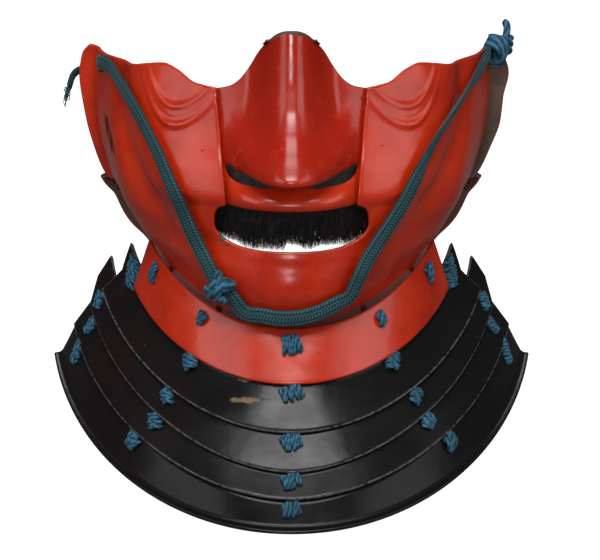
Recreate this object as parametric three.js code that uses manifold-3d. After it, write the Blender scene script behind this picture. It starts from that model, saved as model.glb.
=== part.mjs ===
// A samurai's face guard: a red lacquered iron half mask, open at the back, with a separate nose plate,
// a hair fringe behind the upper lip, a throat guard of five lacquered lames laced together with blue
// braid, and a flat braided cord that hangs across the face.
// Millimetres, +Z up. The face looks along -Y and +X is the viewer's right. The origin is the middle
// of the hollow that the wearer's face fills, on the plane of symmetry, level with the middle of the mouth.

import * as THREE from "three";
import { mergeVertices } from "three/addons/utils/BufferGeometryUtils.js";
import Module from "manifold-3d";

const wasm = await Module();
wasm.setup();

// Plates and clearances
const FACE_PLATE = 1.8;
const NOSE_PLATE = 1.6;
const LAME_PLATE = 1.6;
const GAP = 0.35;
const FINENESS = 0.02;
const LUMP_FINENESS = 0.12;

// Face shell
const FACE_WIDTH = 176;
const FACE_DEPTH = 110;
const REAR_PLANE = 55;
const CHEEK_HEIGHT = 56;
const JAW_HEIGHT = 50;
const SEAM_TOP_WIDTH = 62;
const SEAM_FOOT_WIDTH = 54;
const MOUTH_WIDTH = 64;
const LIP_HEIGHT = 11;
const MOUTH_FLOOR = 7.8;
const RIM_WIDTH = 11;
const RELIEF = 4;
const FOLD_RELIEF = 1;
const FOLD_WIDTH = 1.3;
const SLIT_WIDTH = 1.4;

// Nose plate
const NOSE_HEIGHT = 80.5;
const NOSE_TOP_WIDTH = 19.2;
const NOSE_RISE = 26.5;
const NOSE_WIDTH = 54;
const SEAM_LAP = 3;
const NOSTRIL_LENGTH = 15;
const NOSTRIL_HEIGHT = 5.4;

// Moustache
const MOUSTACHE_WIDTH = 56;
const MOUSTACHE_STRIP = 6;
const MOUSTACHE_THICKNESS = 2.4;
const LOCK_ROOT = 6;
const LOCK_LENGTH = 7.2;
const LOCK_COUNT = 12;

// Throat guard
const COLLAR_TOP = 42.6;
const COLLAR_WIDTH = 0.8273 * FACE_WIDTH;
const COLLAR_DEPTH = 0.9545 * FACE_DEPTH;
const GUARD_DROP = 68;
const GUARD_WIDTH = 214.4;
const GUARD_DEPTH = 145;
const END_RISE = 50;
const LAP = 6.5;
const GUARD_RIM = 3.6;

// Lacing
const LACE_WIDTH = 4.6;
const LACE_THICKNESS = 1.2;
const STEM_RADIUS = 1.4;
const KNOT_WIDTH = 10;
const KNOT_HEIGHT = 5.5;
const KNOT_THICKNESS = 3;

// Face cord
const CORD_WIDTH = 7;
const CORD_THICKNESS = 2.4;

const RED = { color: 0xb02a14, roughness: 0.22, metalness: 0.0 };
const BLACK = { color: 0x0c0b0b, roughness: 0.2, metalness: 0.0 };
const BLUE = { color: 0x1d5c78, roughness: 0.85, metalness: 0.0 };
const TEAL = { color: 0x1c5a66, roughness: 0.85, metalness: 0.0 };
const HAIR = { color: 0x0d0a09, roughness: 0.6, metalness: 0.0 };

const RADIAN = Math.PI / 180;
const UP = new THREE.Vector3(0, 0, 1);
const lerp = THREE.MathUtils.lerp;
const clamp = THREE.MathUtils.clamp;
const smoothstep = THREE.MathUtils.smoothstep;
const bell = (distance, spread) => Math.exp(-0.5 * (distance / spread) ** 2);

// A smooth curve through the rows of a table that never overshoots them, as a function of the key column.
function through(rows, key, column) {
  const keys = rows.map((row) => row[key]);
  const values = rows.map((row) => row[column]);
  const steps = keys.slice(1).map((k, i) => k - keys[i]);
  const slopes = steps.map((step, i) => (values[i + 1] - values[i]) / step);
  const tangents = keys.map((_, i) => {
    if (i === 0) return slopes[0];
    if (i === keys.length - 1) return slopes[i - 1];
    if (slopes[i - 1] * slopes[i] <= 0) return 0;
    const before = 2 * steps[i] + steps[i - 1];
    const after = steps[i] + 2 * steps[i - 1];
    return (before + after) / (before / slopes[i - 1] + after / slopes[i]);
  });
  return (at) => {
    const held = clamp(at, keys[0], keys[keys.length - 1]);
    let i = 0;
    while (i < steps.length - 1 && held > keys[i + 1]) i += 1;
    const t = (held - keys[i]) / steps[i];
    const rise = t * t * (3 - 2 * t);
    const leave = t * (1 - t) * (1 - t) * steps[i] * tangents[i];
    const arrive = t * t * (t - 1) * steps[i] * tangents[i + 1];
    return values[i] + rise * (values[i + 1] - values[i]) + leave + arrive;
  };
}

// Solids
function solidOf(geometry) {
  const bare = new THREE.BufferGeometry();
  bare.setAttribute("position", geometry.getAttribute("position"));
  if (geometry.index) bare.setIndex(geometry.index);
  const merged = mergeVertices(bare, 1e-4);
  return new wasm.Manifold(
    new wasm.Mesh({
      numProp: 3,
      vertProperties: new Float32Array(merged.attributes.position.array),
      triVerts: new Uint32Array(merged.index.array),
    }),
  );
}

function geometryOf(solid) {
  const mesh = solid.simplify(FINENESS).getMesh();
  const geometry = new THREE.BufferGeometry();
  geometry.setAttribute("position", new THREE.BufferAttribute(mesh.vertProperties, 3));
  geometry.setIndex(new THREE.BufferAttribute(mesh.triVerts, 1));
  geometry.computeVertexNormals();
  return geometry;
}

// The outward normal at each point of a lattice, whose rows run along and whose columns run across.
function latticeNormals(points) {
  const rows = points.length;
  const columns = points[0].length;
  return points.map((row, i) =>
    row.map((_, j) => {
      const along = points[Math.min(i + 1, rows - 1)][j].clone().sub(points[Math.max(i - 1, 0)][j]);
      const across = row[Math.min(j + 1, columns - 1)].clone().sub(row[Math.max(j - 1, 0)]);
      return across.cross(along).normalize();
    }),
  );
}

// A sheet of even thickness whose outer face passes through a lattice of points, as a closed solid.
function sheet(points, thickness) {
  const rows = points.length;
  const columns = points[0].length;
  const normals = latticeNormals(points);
  const outer = points.flat();
  const inner = outer.map((point, k) => {
    const normal = normals[Math.floor(k / columns)][k % columns];
    return point.clone().addScaledVector(normal, -thickness);
  });
  const shift = outer.length;
  const at = (i, j) => i * columns + j;
  const faces = [];
  const quad = (a, b, c, d) => faces.push(a, b, c, a, c, d);
  for (let i = 0; i < rows - 1; i += 1) {
    for (let j = 0; j < columns - 1; j += 1) {
      const corners = [at(i, j), at(i, j + 1), at(i + 1, j + 1), at(i + 1, j)];
      const diagonal = (k) => outer[corners[k]].distanceTo(outer[corners[k + 2]]);
      if (diagonal(1) < diagonal(0)) corners.push(corners.shift());
      quad(...corners);
      quad(...[0, 3, 2, 1].map((k) => corners[k] + shift));
    }
  }
  const wall = (a, b) => quad(b, a, a + shift, b + shift);
  for (let j = 0; j < columns - 1; j += 1) {
    wall(at(0, j), at(0, j + 1));
    wall(at(rows - 1, j + 1), at(rows - 1, j));
  }
  for (let i = 0; i < rows - 1; i += 1) {
    wall(at(i + 1, 0), at(i, 0));
    wall(at(i, columns - 1), at(i + 1, columns - 1));
  }
  const geometry = new THREE.BufferGeometry();
  const positions = [...outer, ...inner].flatMap((point) => point.toArray());
  geometry.setAttribute("position", new THREE.Float32BufferAttribute(positions, 3));
  geometry.setIndex(faces);
  return solidOf(geometry);
}

// Columns that carry a lattice row past its edge, turning outwards through an angle over a width.
function turnedRim(edge, inward, normal, width, turn, steps) {
  const onward = edge.clone().sub(inward).normalize();
  const rim = [];
  let point = edge.clone();
  for (let k = 1; k <= steps; k += 1) {
    const angle = (turn * RADIAN * k) / steps;
    const way = onward.clone().multiplyScalar(Math.cos(angle)).addScaledVector(normal, Math.sin(angle));
    point = point.clone().addScaledVector(way, width / steps);
    rim.push(point);
  }
  return rim;
}

// Face shell: plan ellipses from the cheeks to the chin, as shares of the face's sizes. Heights above
// the mouth are shares of the cheek's height and those below are shares of the jaw's.
const SECTIONS = [
  { level: -1.1, width: 0.56, front: 0.8 },
  { level: -0.92, width: 0.62, front: 0.855 },
  { level: -0.8, width: 0.68, front: 0.92 },
  { level: -0.64, width: 0.73, front: 0.982 },
  { level: -0.48, width: 0.765, front: 0.998 },
  { level: -0.32, width: 0.83, front: 0.99 },
  { level: -0.16, width: 0.885, front: 0.972 },
  { level: 0.0, width: 0.935, front: 0.98 },
  { level: 0.2, width: 0.975, front: 0.98 },
  { level: 0.4, width: 1.0, front: 0.945 },
  { level: 0.62, width: 1.01, front: 0.882 },
  { level: 0.98, width: 0.994, front: 0.809 },
  { level: 1.47, width: 0.9, front: 0.7 },
];
const sectionWidth = through(SECTIONS, "level", "width");
const sectionFront = through(SECTIONS, "level", "front");
const levelOf = (z) => (z > 0 ? z / CHEEK_HEIGHT : z / JAW_HEIGHT);
const heightOf = (level) => (level > 0 ? level * CHEEK_HEIGHT : level * JAW_HEIGHT);
const halfWidthAt = (z) => (sectionWidth(levelOf(z)) * FACE_WIDTH) / 2;
const depthAt = (z) => sectionFront(levelOf(z)) * FACE_DEPTH;
const angleAt = (x, z) => Math.asin(clamp(x / halfWidthAt(z), -1, 1)) / RADIAN;

// Swellings and hollows of the face: angles from the front in degrees, heights as levels, and rises as
// shares of the relief.
const SWELLINGS = [
  { name: "cheek", angle: 34, level: 0.52, angleSpan: 12, levelSpan: 0.34, rise: 0.85 },
  { name: "cheek top", angle: 44, level: 1.05, angleSpan: 9, levelSpan: 0.2, rise: 0.35 },
  { name: "jaw lobe", angle: 55, level: -0.02, angleSpan: 5.5, levelSpan: 0.3, rise: 0.75 },
  { name: "chin", angle: 0, level: -0.5, angleSpan: 17, levelSpan: 0.2, rise: 0.8 },
  { name: "lower lip", angle: 0, level: -0.19, angleSpan: 13, levelSpan: 0.05, rise: 0.35 },
  { name: "temple hollow", angle: 66, level: 0.75, angleSpan: 8, levelSpan: 0.4, rise: -0.3 },
  { name: "mouth corner", angle: 27, level: 0.02, angleSpan: 4, levelSpan: 0.2, rise: 0.3 },
];
// The groove that rounds the cheek, from the temple down to the mouth's corner.
const GROOVE = [
  { level: -0.3, angle: 36, depth: 0.0 },
  { level: -0.1, angle: 39, depth: 0.35 },
  { level: 0.12, angle: 43, depth: 0.7 },
  { level: 0.35, angle: 48, depth: 0.65 },
  { level: 0.65, angle: 53, depth: 0.55 },
  { level: 1.1, angle: 57, depth: 0.5 },
];
const GROOVE_SPREAD = 3.6;
const grooveAngle = through(GROOVE, "level", "angle");
const grooveDepth = through(GROOVE, "level", "depth");
// The folds under the eye: each hangs from its lowest level as a shallow arc.
const FOLDS = [
  { level: 0.7, rise: 1.0 },
  { level: 0.77, rise: 0.45 },
  { level: 0.825, rise: 0.9 },
];
const FOLD_MIDDLE = 32;
const FOLD_SPAN = 12;
const FOLD_CURL = { front: 0.0016, rear: 0.0023 };
const CHEEK_LEDGE = { level: 0.2, spread: 0.05, from: 21, to: 37, drop: 0.35 };

function shellRelief(angle, z) {
  const side = Math.abs(angle);
  const level = levelOf(z);
  let rise = 0;
  for (const swelling of SWELLINGS) {
    const abreast = bell(side - swelling.angle, swelling.angleSpan);
    rise += swelling.rise * RELIEF * abreast * bell(level - swelling.level, swelling.levelSpan);
  }
  rise -= grooveDepth(level) * RELIEF * bell(side - grooveAngle(level), GROOVE_SPREAD);
  for (const fold of FOLDS) {
    const away = side - FOLD_MIDDLE;
    const curl = away > 0 ? FOLD_CURL.rear : FOLD_CURL.front;
    const height = heightOf(fold.level + curl * away * away);
    rise += fold.rise * FOLD_RELIEF * bell(z - height, FOLD_WIDTH) * bell(away / FOLD_SPAN, 0.6);
  }
  const { from, to, spread } = CHEEK_LEDGE;
  const below = 1 - smoothstep(level, CHEEK_LEDGE.level - spread, CHEEK_LEDGE.level + spread);
  const across = bell((side - (from + to) / 2) / (to - from), 0.5);
  rise -= CHEEK_LEDGE.drop * RELIEF * below * across * smoothstep(level, -0.3, 0);
  return rise;
}

function shellPoint(angle, z) {
  const half = halfWidthAt(z);
  const depth = depthAt(z);
  const sine = Math.sin(angle * RADIAN);
  const cosine = Math.cos(angle * RADIAN);
  const outward = new THREE.Vector3(depth * sine, -half * cosine, 0).normalize();
  const point = new THREE.Vector3(half * sine, REAR_PLANE - depth * cosine, z);
  return point.addScaledVector(outward, shellRelief(angle, z));
}

// The shell's lattice runs from the cheek's top edge (along 0) to the middle of the chin (along 1).
// The inner edge follows the nose seam and the mouth, and the outer edge the ear side and the jaw.
const seamX = (z) => {
  const share = clamp((z - LIP_HEIGHT) / (CHEEK_HEIGHT - LIP_HEIGHT), 0, 1);
  return lerp(SEAM_FOOT_WIDTH, SEAM_TOP_WIDTH, share) / 2;
};
const INNER_EDGE = [
  { along: 0.0, x: seamX(CHEEK_HEIGHT), z: 0.975 * CHEEK_HEIGHT },
  { along: 0.5, x: seamX(LIP_HEIGHT), z: LIP_HEIGHT },
  { along: 0.535, x: 0.93 * (MOUTH_WIDTH / 2), z: 0.86 * LIP_HEIGHT },
  { along: 0.565, x: 0.99 * (MOUTH_WIDTH / 2), z: 0.55 * LIP_HEIGHT },
  { along: 0.6, x: MOUTH_WIDTH / 2, z: 0.12 * LIP_HEIGHT },
  { along: 0.64, x: 0.95 * (MOUTH_WIDTH / 2), z: -0.35 * MOUTH_FLOOR },
  { along: 0.69, x: 0.83 * (MOUTH_WIDTH / 2), z: -0.7 * MOUTH_FLOOR },
  { along: 0.76, x: 0.62 * (MOUTH_WIDTH / 2), z: -0.93 * MOUTH_FLOOR },
  { along: 0.86, x: 0.35 * (MOUTH_WIDTH / 2), z: -MOUTH_FLOOR },
  { along: 1.0, x: 0, z: -MOUTH_FLOOR },
];
const OUTER_EDGE = [
  { along: 0.0, angle: 80, level: 0.98 },
  { along: 0.25, angle: 80, level: 0.5 },
  { along: 0.45, angle: 79.5, level: 0.07 },
  { along: 0.51, angle: 80, level: -0.08 },
  { along: 0.56, angle: 87, level: -0.12 },
  { along: 0.6, angle: 83, level: -0.22 },
  { along: 0.65, angle: 75, level: -0.38 },
  { along: 0.7, angle: 67, level: -0.56 },
  { along: 0.76, angle: 56, level: -0.78 },
  { along: 0.84, angle: 38, level: -0.93 },
  { along: 0.92, angle: 19, level: -1.01 },
  { along: 1.0, angle: 0, level: -1.03 },
];
// The hump of the cheek's top edge between the seam and the ear side.
const TOP_EDGE = [
  { across: 0, level: 0 },
  { across: 0.1, level: 0.02 },
  { across: 0.2, level: 0.095 },
  { across: 0.27, level: 0.122 },
  { across: 0.36, level: 0.1 },
  { across: 0.47, level: 0.06 },
  { across: 0.56, level: 0.04 },
  { across: 0.68, level: 0.035 },
  { across: 0.85, level: 0.01 },
  { across: 1, level: 0 },
];
// The turned-out rim: the ear flange down to the notch, then the jaw rim, which rolls on upwards.
const RIM = [
  { along: 0.0, left: 0.5, right: 0.6, turn: 60 },
  { along: 0.04, left: 0.8, right: 0.9, turn: 72 },
  { along: 0.12, left: 0.85, right: 1.15, turn: 80 },
  { along: 0.22, left: 0.7, right: 0.85, turn: 80 },
  { along: 0.3, left: 0.6, right: 0.85, turn: 80 },
  { along: 0.4, left: 0.5, right: 0.6, turn: 80 },
  { along: 0.47, left: 0.45, right: 0.45, turn: 80 },
  { along: 0.515, left: 0.2, right: 0.2, turn: 85 },
  { along: 0.54, left: 0.3, right: 0.3, turn: 80 },
  { along: 0.56, left: 1.7, right: 1.6, turn: 70 },
  { along: 0.6, left: 0.75, right: 0.75, turn: 90 },
  { along: 0.65, left: 0.5, right: 0.5, turn: 110 },
  { along: 0.7, left: 0.06, right: 0.06, turn: 60 },
  { along: 0.73, left: 0.05, right: 0.05, turn: 30 },
  { along: 0.78, left: 0.05, right: 0.05, turn: 0 },
  { along: 1.0, left: 0.05, right: 0.05, turn: 0 },
];
const innerX = through(INNER_EDGE, "along", "x");
const innerZ = through(INNER_EDGE, "along", "z");
const outerAngle = through(OUTER_EDGE, "along", "angle");
const outerLevel = through(OUTER_EDGE, "along", "level");
const topHump = through(TOP_EDGE, "across", "level");
const rimTurn = through(RIM, "along", "turn");
const rimShare = { left: through(RIM, "along", "left"), right: through(RIM, "along", "right") };
const RIM_STEPS = 3;

const SHELL_ROWS = [
  0, 0.04, 0.08, 0.12, 0.16, 0.2, 0.24, 0.28, 0.33, 0.38, 0.44, 0.5, 0.53, 0.56, 0.6, 0.64, 0.69, 0.74, 0.8, 0.87,
  0.935, 1,
];
const SHELL_COLUMNS = [0, 0.06, 0.13, 0.2, 0.27, 0.34, 0.41, 0.49, 0.58, 0.68, 0.78, 0.89, 1];

function shellLatticePoint(side, along, across) {
  const startZ = innerZ(along);
  const start = angleAt(innerX(along), startZ);
  const angle = lerp(start, outerAngle(along), across);
  const hump = topHump(across) * (1 - along / 0.5) ** 2 * (along < 0.5 ? 1 : 0);
  const z = lerp(startZ, heightOf(outerLevel(along)), across) + hump * CHEEK_HEIGHT;
  return shellPoint(side * angle, z);
}

function shellLattice(lift) {
  const lattice = [];
  const stations = [
    ...SHELL_ROWS.map((along) => ({ side: -1, along })),
    ...SHELL_ROWS.slice(0, -1).reverse().map((along) => ({ side: 1, along })),
  ];
  for (const { side, along } of stations) {
    lattice.push(SHELL_COLUMNS.map((across) => shellLatticePoint(side, along, across)));
  }
  const normals = latticeNormals(lattice);
  const edge = SHELL_COLUMNS.length - 1;
  stations.forEach(({ side, along }, i) => {
    const width = RIM_WIDTH * rimShare[side < 0 ? "left" : "right"](along);
    const [before, last] = lattice[i].slice(edge - 1);
    lattice[i].push(...turnedRim(last, before, normals[i][edge], width, rimTurn(along), RIM_STEPS));
  });
  const outward = latticeNormals(lattice);
  return lattice.map((row, i) => row.map((point, j) => point.clone().addScaledVector(outward[i][j], lift)));
}

// The crack beside the crease of the left ear flange.
const SLIT_TOP = { angle: -67.5, level: 0.56 };
const SLIT_FOOT = { angle: -57.5, level: 0.32 };
function slit() {
  const top = shellPoint(SLIT_TOP.angle, heightOf(SLIT_TOP.level));
  const foot = shellPoint(SLIT_FOOT.angle, heightOf(SLIT_FOOT.level));
  const way = top.clone().sub(foot);
  const geometry = new THREE.BoxGeometry(12, SLIT_WIDTH, way.length());
  const turn = new THREE.Quaternion().setFromUnitVectors(UP, way.clone().normalize());
  geometry.applyQuaternion(turn);
  const middle = top.add(foot).multiplyScalar(0.5);
  geometry.translate(middle.x, middle.y, middle.z);
  return solidOf(geometry);
}

// Nose plate: a height field in front of the shell's own surface, set back behind the cheek edges.
const NOSE_SET_BACK = (FACE_PLATE + GAP) / 0.86;
const NOSE_SECTIONS = [
  { height: 0.18, rise: 0.0, half: 1.0 },
  { height: 0.245, rise: 0.06, half: 1.0 },
  { height: 0.262, rise: 0.16, half: 1.0 },
  { height: 0.28, rise: 0.48, half: 1.0 },
  { height: 0.298, rise: 0.8, half: 1.0 },
  { height: 0.32, rise: 0.96, half: 1.0 },
  { height: 0.35, rise: 1.0, half: 1.0 },
  { height: 0.39, rise: 0.98, half: 0.97 },
  { height: 0.45, rise: 0.9, half: 0.88 },
  { height: 0.54, rise: 0.75, half: 0.78 },
  { height: 0.64, rise: 0.66, half: 0.72 },
  { height: 0.74, rise: 0.64, half: 0.7 },
  { height: 0.85, rise: 0.68, half: 0.7 },
  { height: 1.0, rise: 0.76, half: 0.74 },
];
const noseRise = through(NOSE_SECTIONS, "height", "rise");
const noseHalf = through(NOSE_SECTIONS, "height", "half");
const WING = { x: 0.74, height: 0.4, spreadX: 0.19, spreadZ: 0.08, rise: 0.23, foot: 0.3 };
const UPPER_LIP = { height: 0.168, spread: 0.06, rise: 0.3 };
const FOOT_LIFT = 1.8;

function noseRelief(x, z) {
  const share = Math.abs(x) / (NOSE_WIDTH / 2);
  const lift = FOOT_LIFT * share * share;
  const height = (z - lift) / NOSE_HEIGHT;
  const spread = clamp(share / noseHalf(height), 0, 1);
  const ridge = (noseRise(height) * (1 + Math.cos(Math.PI * spread ** 1.2))) / 2;
  const wing =
    WING.rise *
    bell(share - WING.x, WING.spreadX) *
    bell(height - WING.height, WING.spreadZ) *
    smoothstep(height, WING.foot - 0.03, WING.foot + 0.02);
  const lipFade = clamp(1 - share ** 4, 0, 1);
  const lip = UPPER_LIP.rise * bell(height - UPPER_LIP.height, UPPER_LIP.spread) * lipFade;
  return NOSE_RISE * (ridge + wing + lip);
}

function nosePoint(x, z) {
  const angle = angleAt(x, z) * RADIAN;
  const back = REAR_PLANE - depthAt(z) * Math.cos(angle) + NOSE_SET_BACK;
  return new THREE.Vector3(x, back - noseRelief(x, z), z);
}

// The plate's side edge, which laps behind the cheeks up to the seam's top and is free above it.
const SEAM_HIGH = seamX(0.9 * CHEEK_HEIGHT);
const NOSE_EDGE = [
  { up: 0.0, edge: seamX(LIP_HEIGHT) + SEAM_LAP, edgeZ: LIP_HEIGHT, middleZ: LIP_HEIGHT },
  { up: 0.52, edge: SEAM_HIGH + SEAM_LAP, edgeZ: 0.9 * CHEEK_HEIGHT, middleZ: 0.6 * NOSE_HEIGHT },
  { up: 0.55, edge: SEAM_HIGH + 0.96 * SEAM_LAP, edgeZ: 0.945 * CHEEK_HEIGHT, middleZ: 0.635 * NOSE_HEIGHT },
  { up: 0.58, edge: 0.48 * SEAM_TOP_WIDTH, edgeZ: 0.96 * CHEEK_HEIGHT, middleZ: 0.675 * NOSE_HEIGHT },
  { up: 0.63, edge: 0.41 * SEAM_TOP_WIDTH, edgeZ: 0.682 * NOSE_HEIGHT, middleZ: 0.72 * NOSE_HEIGHT },
  { up: 0.7, edge: 0.335 * SEAM_TOP_WIDTH, edgeZ: 0.72 * NOSE_HEIGHT, middleZ: 0.775 * NOSE_HEIGHT },
  { up: 0.78, edge: 0.87 * NOSE_TOP_WIDTH, edgeZ: 0.79 * NOSE_HEIGHT, middleZ: 0.835 * NOSE_HEIGHT },
  { up: 0.87, edge: 0.72 * NOSE_TOP_WIDTH, edgeZ: 0.855 * NOSE_HEIGHT, middleZ: 0.9 * NOSE_HEIGHT },
  { up: 0.94, edge: 0.6 * NOSE_TOP_WIDTH, edgeZ: 0.9 * NOSE_HEIGHT, middleZ: 0.95 * NOSE_HEIGHT },
  { up: 1.0, edge: 0.49 * NOSE_TOP_WIDTH, edgeZ: 0.932 * NOSE_HEIGHT, middleZ: NOSE_HEIGHT },
];
const noseEdge = through(NOSE_EDGE, "up", "edge");
const noseEdgeZ = through(NOSE_EDGE, "up", "edgeZ");
const noseMiddleZ = through(NOSE_EDGE, "up", "middleZ");
const NOSE_ROWS = [
  0, 0.05, 0.1, 0.14, 0.165, 0.185, 0.205, 0.23, 0.27, 0.32, 0.39, 0.46, 0.52, 0.56, 0.6, 0.65, 0.71, 0.79, 0.88, 1,
];
const NOSE_HALF = [0.14, 0.28, 0.42, 0.56, 0.68, 0.79, 0.9, 1];
const NOSE_COLUMNS = [...NOSE_HALF.map((side) => -side).reverse(), 0, ...NOSE_HALF];

function noseLattice() {
  return NOSE_COLUMNS.map((side) =>
    NOSE_ROWS.map((up) => {
      const x = side * noseEdge(up);
      const z = lerp(noseMiddleZ(up), noseEdgeZ(up), Math.abs(side) ** 2.6);
      return nosePoint(x, z);
    }),
  ).map((column) => column.reverse());
}

function nostril(side) {
  const geometry = new THREE.SphereGeometry(1, 8, 6);
  geometry.scale(NOSTRIL_LENGTH / 2, NOSE_RISE / 3, NOSTRIL_HEIGHT / 2);
  geometry.rotateY(side * -16 * RADIAN);
  const x = side * 0.26 * NOSE_WIDTH;
  const z = 0.277 * NOSE_HEIGHT;
  geometry.translate(x, nosePoint(x, z).y + 1, z);
  return solidOf(geometry);
}

// Throat guard: each row is the lower edge of a lame, from the collar's top edge downwards. The columns
// are shares between the collar's sizes and the guard's, the angle where the edge ends, and the rise of
// its ends with the power that shapes it.
const EDGES = [
  { name: "collar top", drop: 0, depth: 0, width: 0, rise: 0.88, curl: 1, end: 58.4 },
  { name: "collar foot", drop: 0.272, depth: 0.3, width: 0.155, rise: 0.686, curl: 1, end: 62 },
  { name: "lame 1 foot", drop: 0.522, depth: 0.55, width: 0.51, rise: 1.01, curl: 0.92, end: 67.3 },
  { name: "lame 2 foot", drop: 0.725, depth: 0.75, width: 0.64, rise: 1.046, curl: 0.8, end: 70.5 },
  { name: "lame 3 foot", drop: 0.857, depth: 0.9, width: 0.85, rise: 0.986, curl: 0.85, end: 72.2 },
  { name: "lame 4 foot", drop: 1, depth: 1, width: 1, rise: 0.88, curl: 1, end: 74.2 },
];
// How each lame laps under its neighbour, as a share of the lap: along it and at its ends. The ends
// have an angle at the top edge, stand out from under the neighbour, bow out on the way down and run
// straight by a share, where the lame's face otherwise turns as it comes out.
const LAPS = [
  { lap: 1, top: 58.4, endLap: 1, out: 0, bow: 1, straight: 0 },
  { lap: 1, top: 70, endLap: 1.6, out: 1, bow: 1, straight: 0.5 },
  { lap: 1, top: 75, endLap: 1.1, out: 0.9, bow: 1, straight: 0.5 },
  { lap: 0.7, top: 74, endLap: 0.5, out: 0, bow: 1, straight: 0 },
  { lap: 0.55, top: 73.5, endLap: 0.4, out: 0, bow: 2.5, straight: 0 },
];
const LAME_NAMES = ["collar_lame", "throat_lame_1", "throat_lame_2", "throat_lame_3", "throat_lame_4"];
const LAME_COUNT = LAME_NAMES.length;
const LAP_DEPTH = LAME_PLATE + 3 * GAP;
const EDGE_DROP = 1.5;

function edgePoint(row, angle) {
  const edge = EDGES[row];
  const width = lerp(COLLAR_WIDTH, GUARD_WIDTH, edge.width) / 2;
  const depth = lerp(COLLAR_DEPTH, GUARD_DEPTH, edge.depth);
  const turned = 1 - Math.cos(angle * RADIAN);
  return new THREE.Vector3(
    width * Math.sin(angle * RADIAN),
    REAR_PLANE - depth * (1 - turned),
    -COLLAR_TOP - edge.drop * GUARD_DROP + edge.rise * END_RISE * turned ** edge.curl,
  );
}

const lameCache = new Map();

// A point of a lame at an angle from the front. Down runs from 0 at the top edge through 1 where the
// lame comes out from under its neighbour to 2 at the lower edge.
function lamePoint(lame, angle, down) {
  const key = `${lame} ${angle.toFixed(4)} ${down.toFixed(4)}`;
  if (lameCache.has(key)) return lameCache.get(key).clone();
  const foot = edgePoint(lame + 1, angle);
  let point;
  if (lame === 0) {
    point = edgePoint(0, angle).lerp(foot, down / 2);
  } else {
    const above = (share) => lamePoint(lame - 1, angle, share);
    const aboveFoot = above(2);
    const fall = aboveFoot.clone().sub(above(1.4));
    const way = fall.clone().normalize();
    const across = new THREE.Vector3(Math.cos(angle * RADIAN), Math.sin(angle * RADIAN), 0);
    const inward = across.cross(way).normalize();
    const end = LAPS[lame];
    const toEnd = smoothstep(Math.abs(angle), EDGES[lame].end, end.top);
    const depth = LAP_DEPTH * (1 - end.out * toEnd);
    const lapped = (along) => aboveFoot.clone().addScaledVector(way, along).addScaledVector(inward, depth);
    const top = lapped(-LAP * lerp(end.lap, end.endLap, toEnd));
    const turn = lapped(EDGE_DROP).lerp(top.clone().lerp(foot, 0.5), end.straight * toEnd);
    point = down < 1 ? top.lerp(turn, down) : turn.lerp(foot, down - 1);
  }
  lameCache.set(key, point.clone());
  return point;
}

function endAngle(lame, down) {
  return lerp(LAPS[lame].top, EDGES[lame + 1].end, (down / 2) ** LAPS[lame].bow);
}

const LAME_SPANS = 20;
const COLLAR_DOWN = [0, 1, 2];
const LAME_DOWN = [0, 1, 1.5, 2];

function lameLattice(lame) {
  const downs = lame === 0 ? COLLAR_DOWN : LAME_DOWN;
  const lattice = [];
  for (let i = 0; i <= LAME_SPANS; i += 1) {
    const share = (2 * i) / LAME_SPANS - 1;
    lattice.push(downs.map((down) => lamePoint(lame, share * endAngle(lame, down), down)));
  }
  if (lame === LAME_COUNT - 1) {
    const normals = latticeNormals(lattice);
    const edge = downs.length - 1;
    lattice.forEach((row, i) => {
      row.push(...turnedRim(row[edge], row[edge - 1], normals[i][edge], GUARD_RIM, 75, 2));
    });
  }
  return lattice;
}

// Lacing: each column of knots is one length of braid that runs down inside the lames. The columns are
// the angles of the knots on each lame, from the collar down.
const LACE_COLUMNS = [
  { name: "lacing_end_left", side: -1, angles: [52, 65, 67, 67, 67], raised: true },
  { name: "lacing_mid_left", side: -1, angles: [30, 32.5, 34.5, 36.5, 40], raised: false },
  { name: "lacing_center", side: 1, angles: [0, 0, 0, 0, 0], raised: false },
  { name: "lacing_mid_right", side: 1, angles: [30, 32.5, 34.5, 36.5, 40], raised: false },
  { name: "lacing_end_right", side: 1, angles: [52, 65, 67, 67, 67], raised: true },
];
const RAISED_KNOT_DOWN = 0.5;
const COLLAR_KNOT_DOWN = 0.55;
const KNOT_DROP = 2.2;

// A place on a lame's face, with its level tangent, the way it falls and its outward normal.
function placeOn(lame, angle, share) {
  const point = lamePoint(lame, angle, share);
  const level = lamePoint(lame, angle + 0.5, share).sub(lamePoint(lame, angle - 0.5, share)).normalize();
  const above = lamePoint(lame, angle, Math.max(share - 0.04, 0));
  const fall = lamePoint(lame, angle, share + 0.04).sub(above).normalize();
  return { point, level, fall, normal: fall.clone().cross(level).normalize() };
}

// The knot on the first lame of an end column is raised, as it shows beyond the collar's end.
function knotPlace(lame, angle, raised) {
  const run = lamePoint(lame, angle, 1).distanceTo(lamePoint(lame, angle, 2));
  if (lame === 0) return placeOn(lame, angle, COLLAR_KNOT_DOWN);
  return placeOn(lame, angle, lame === 1 && raised ? RAISED_KNOT_DOWN : 1 + KNOT_DROP / run);
}

function placedKnot(place, distance, width, height, thickness) {
  const geometry = new THREE.SphereGeometry(0.5, 6, 4);
  geometry.scale(width, height, thickness);
  const turn = new THREE.Matrix4().makeBasis(place.level, place.fall.clone().negate(), place.normal);
  turn.setPosition(place.point.clone().addScaledVector(place.normal, distance));
  geometry.applyMatrix4(turn);
  return solidOf(geometry);
}

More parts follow.
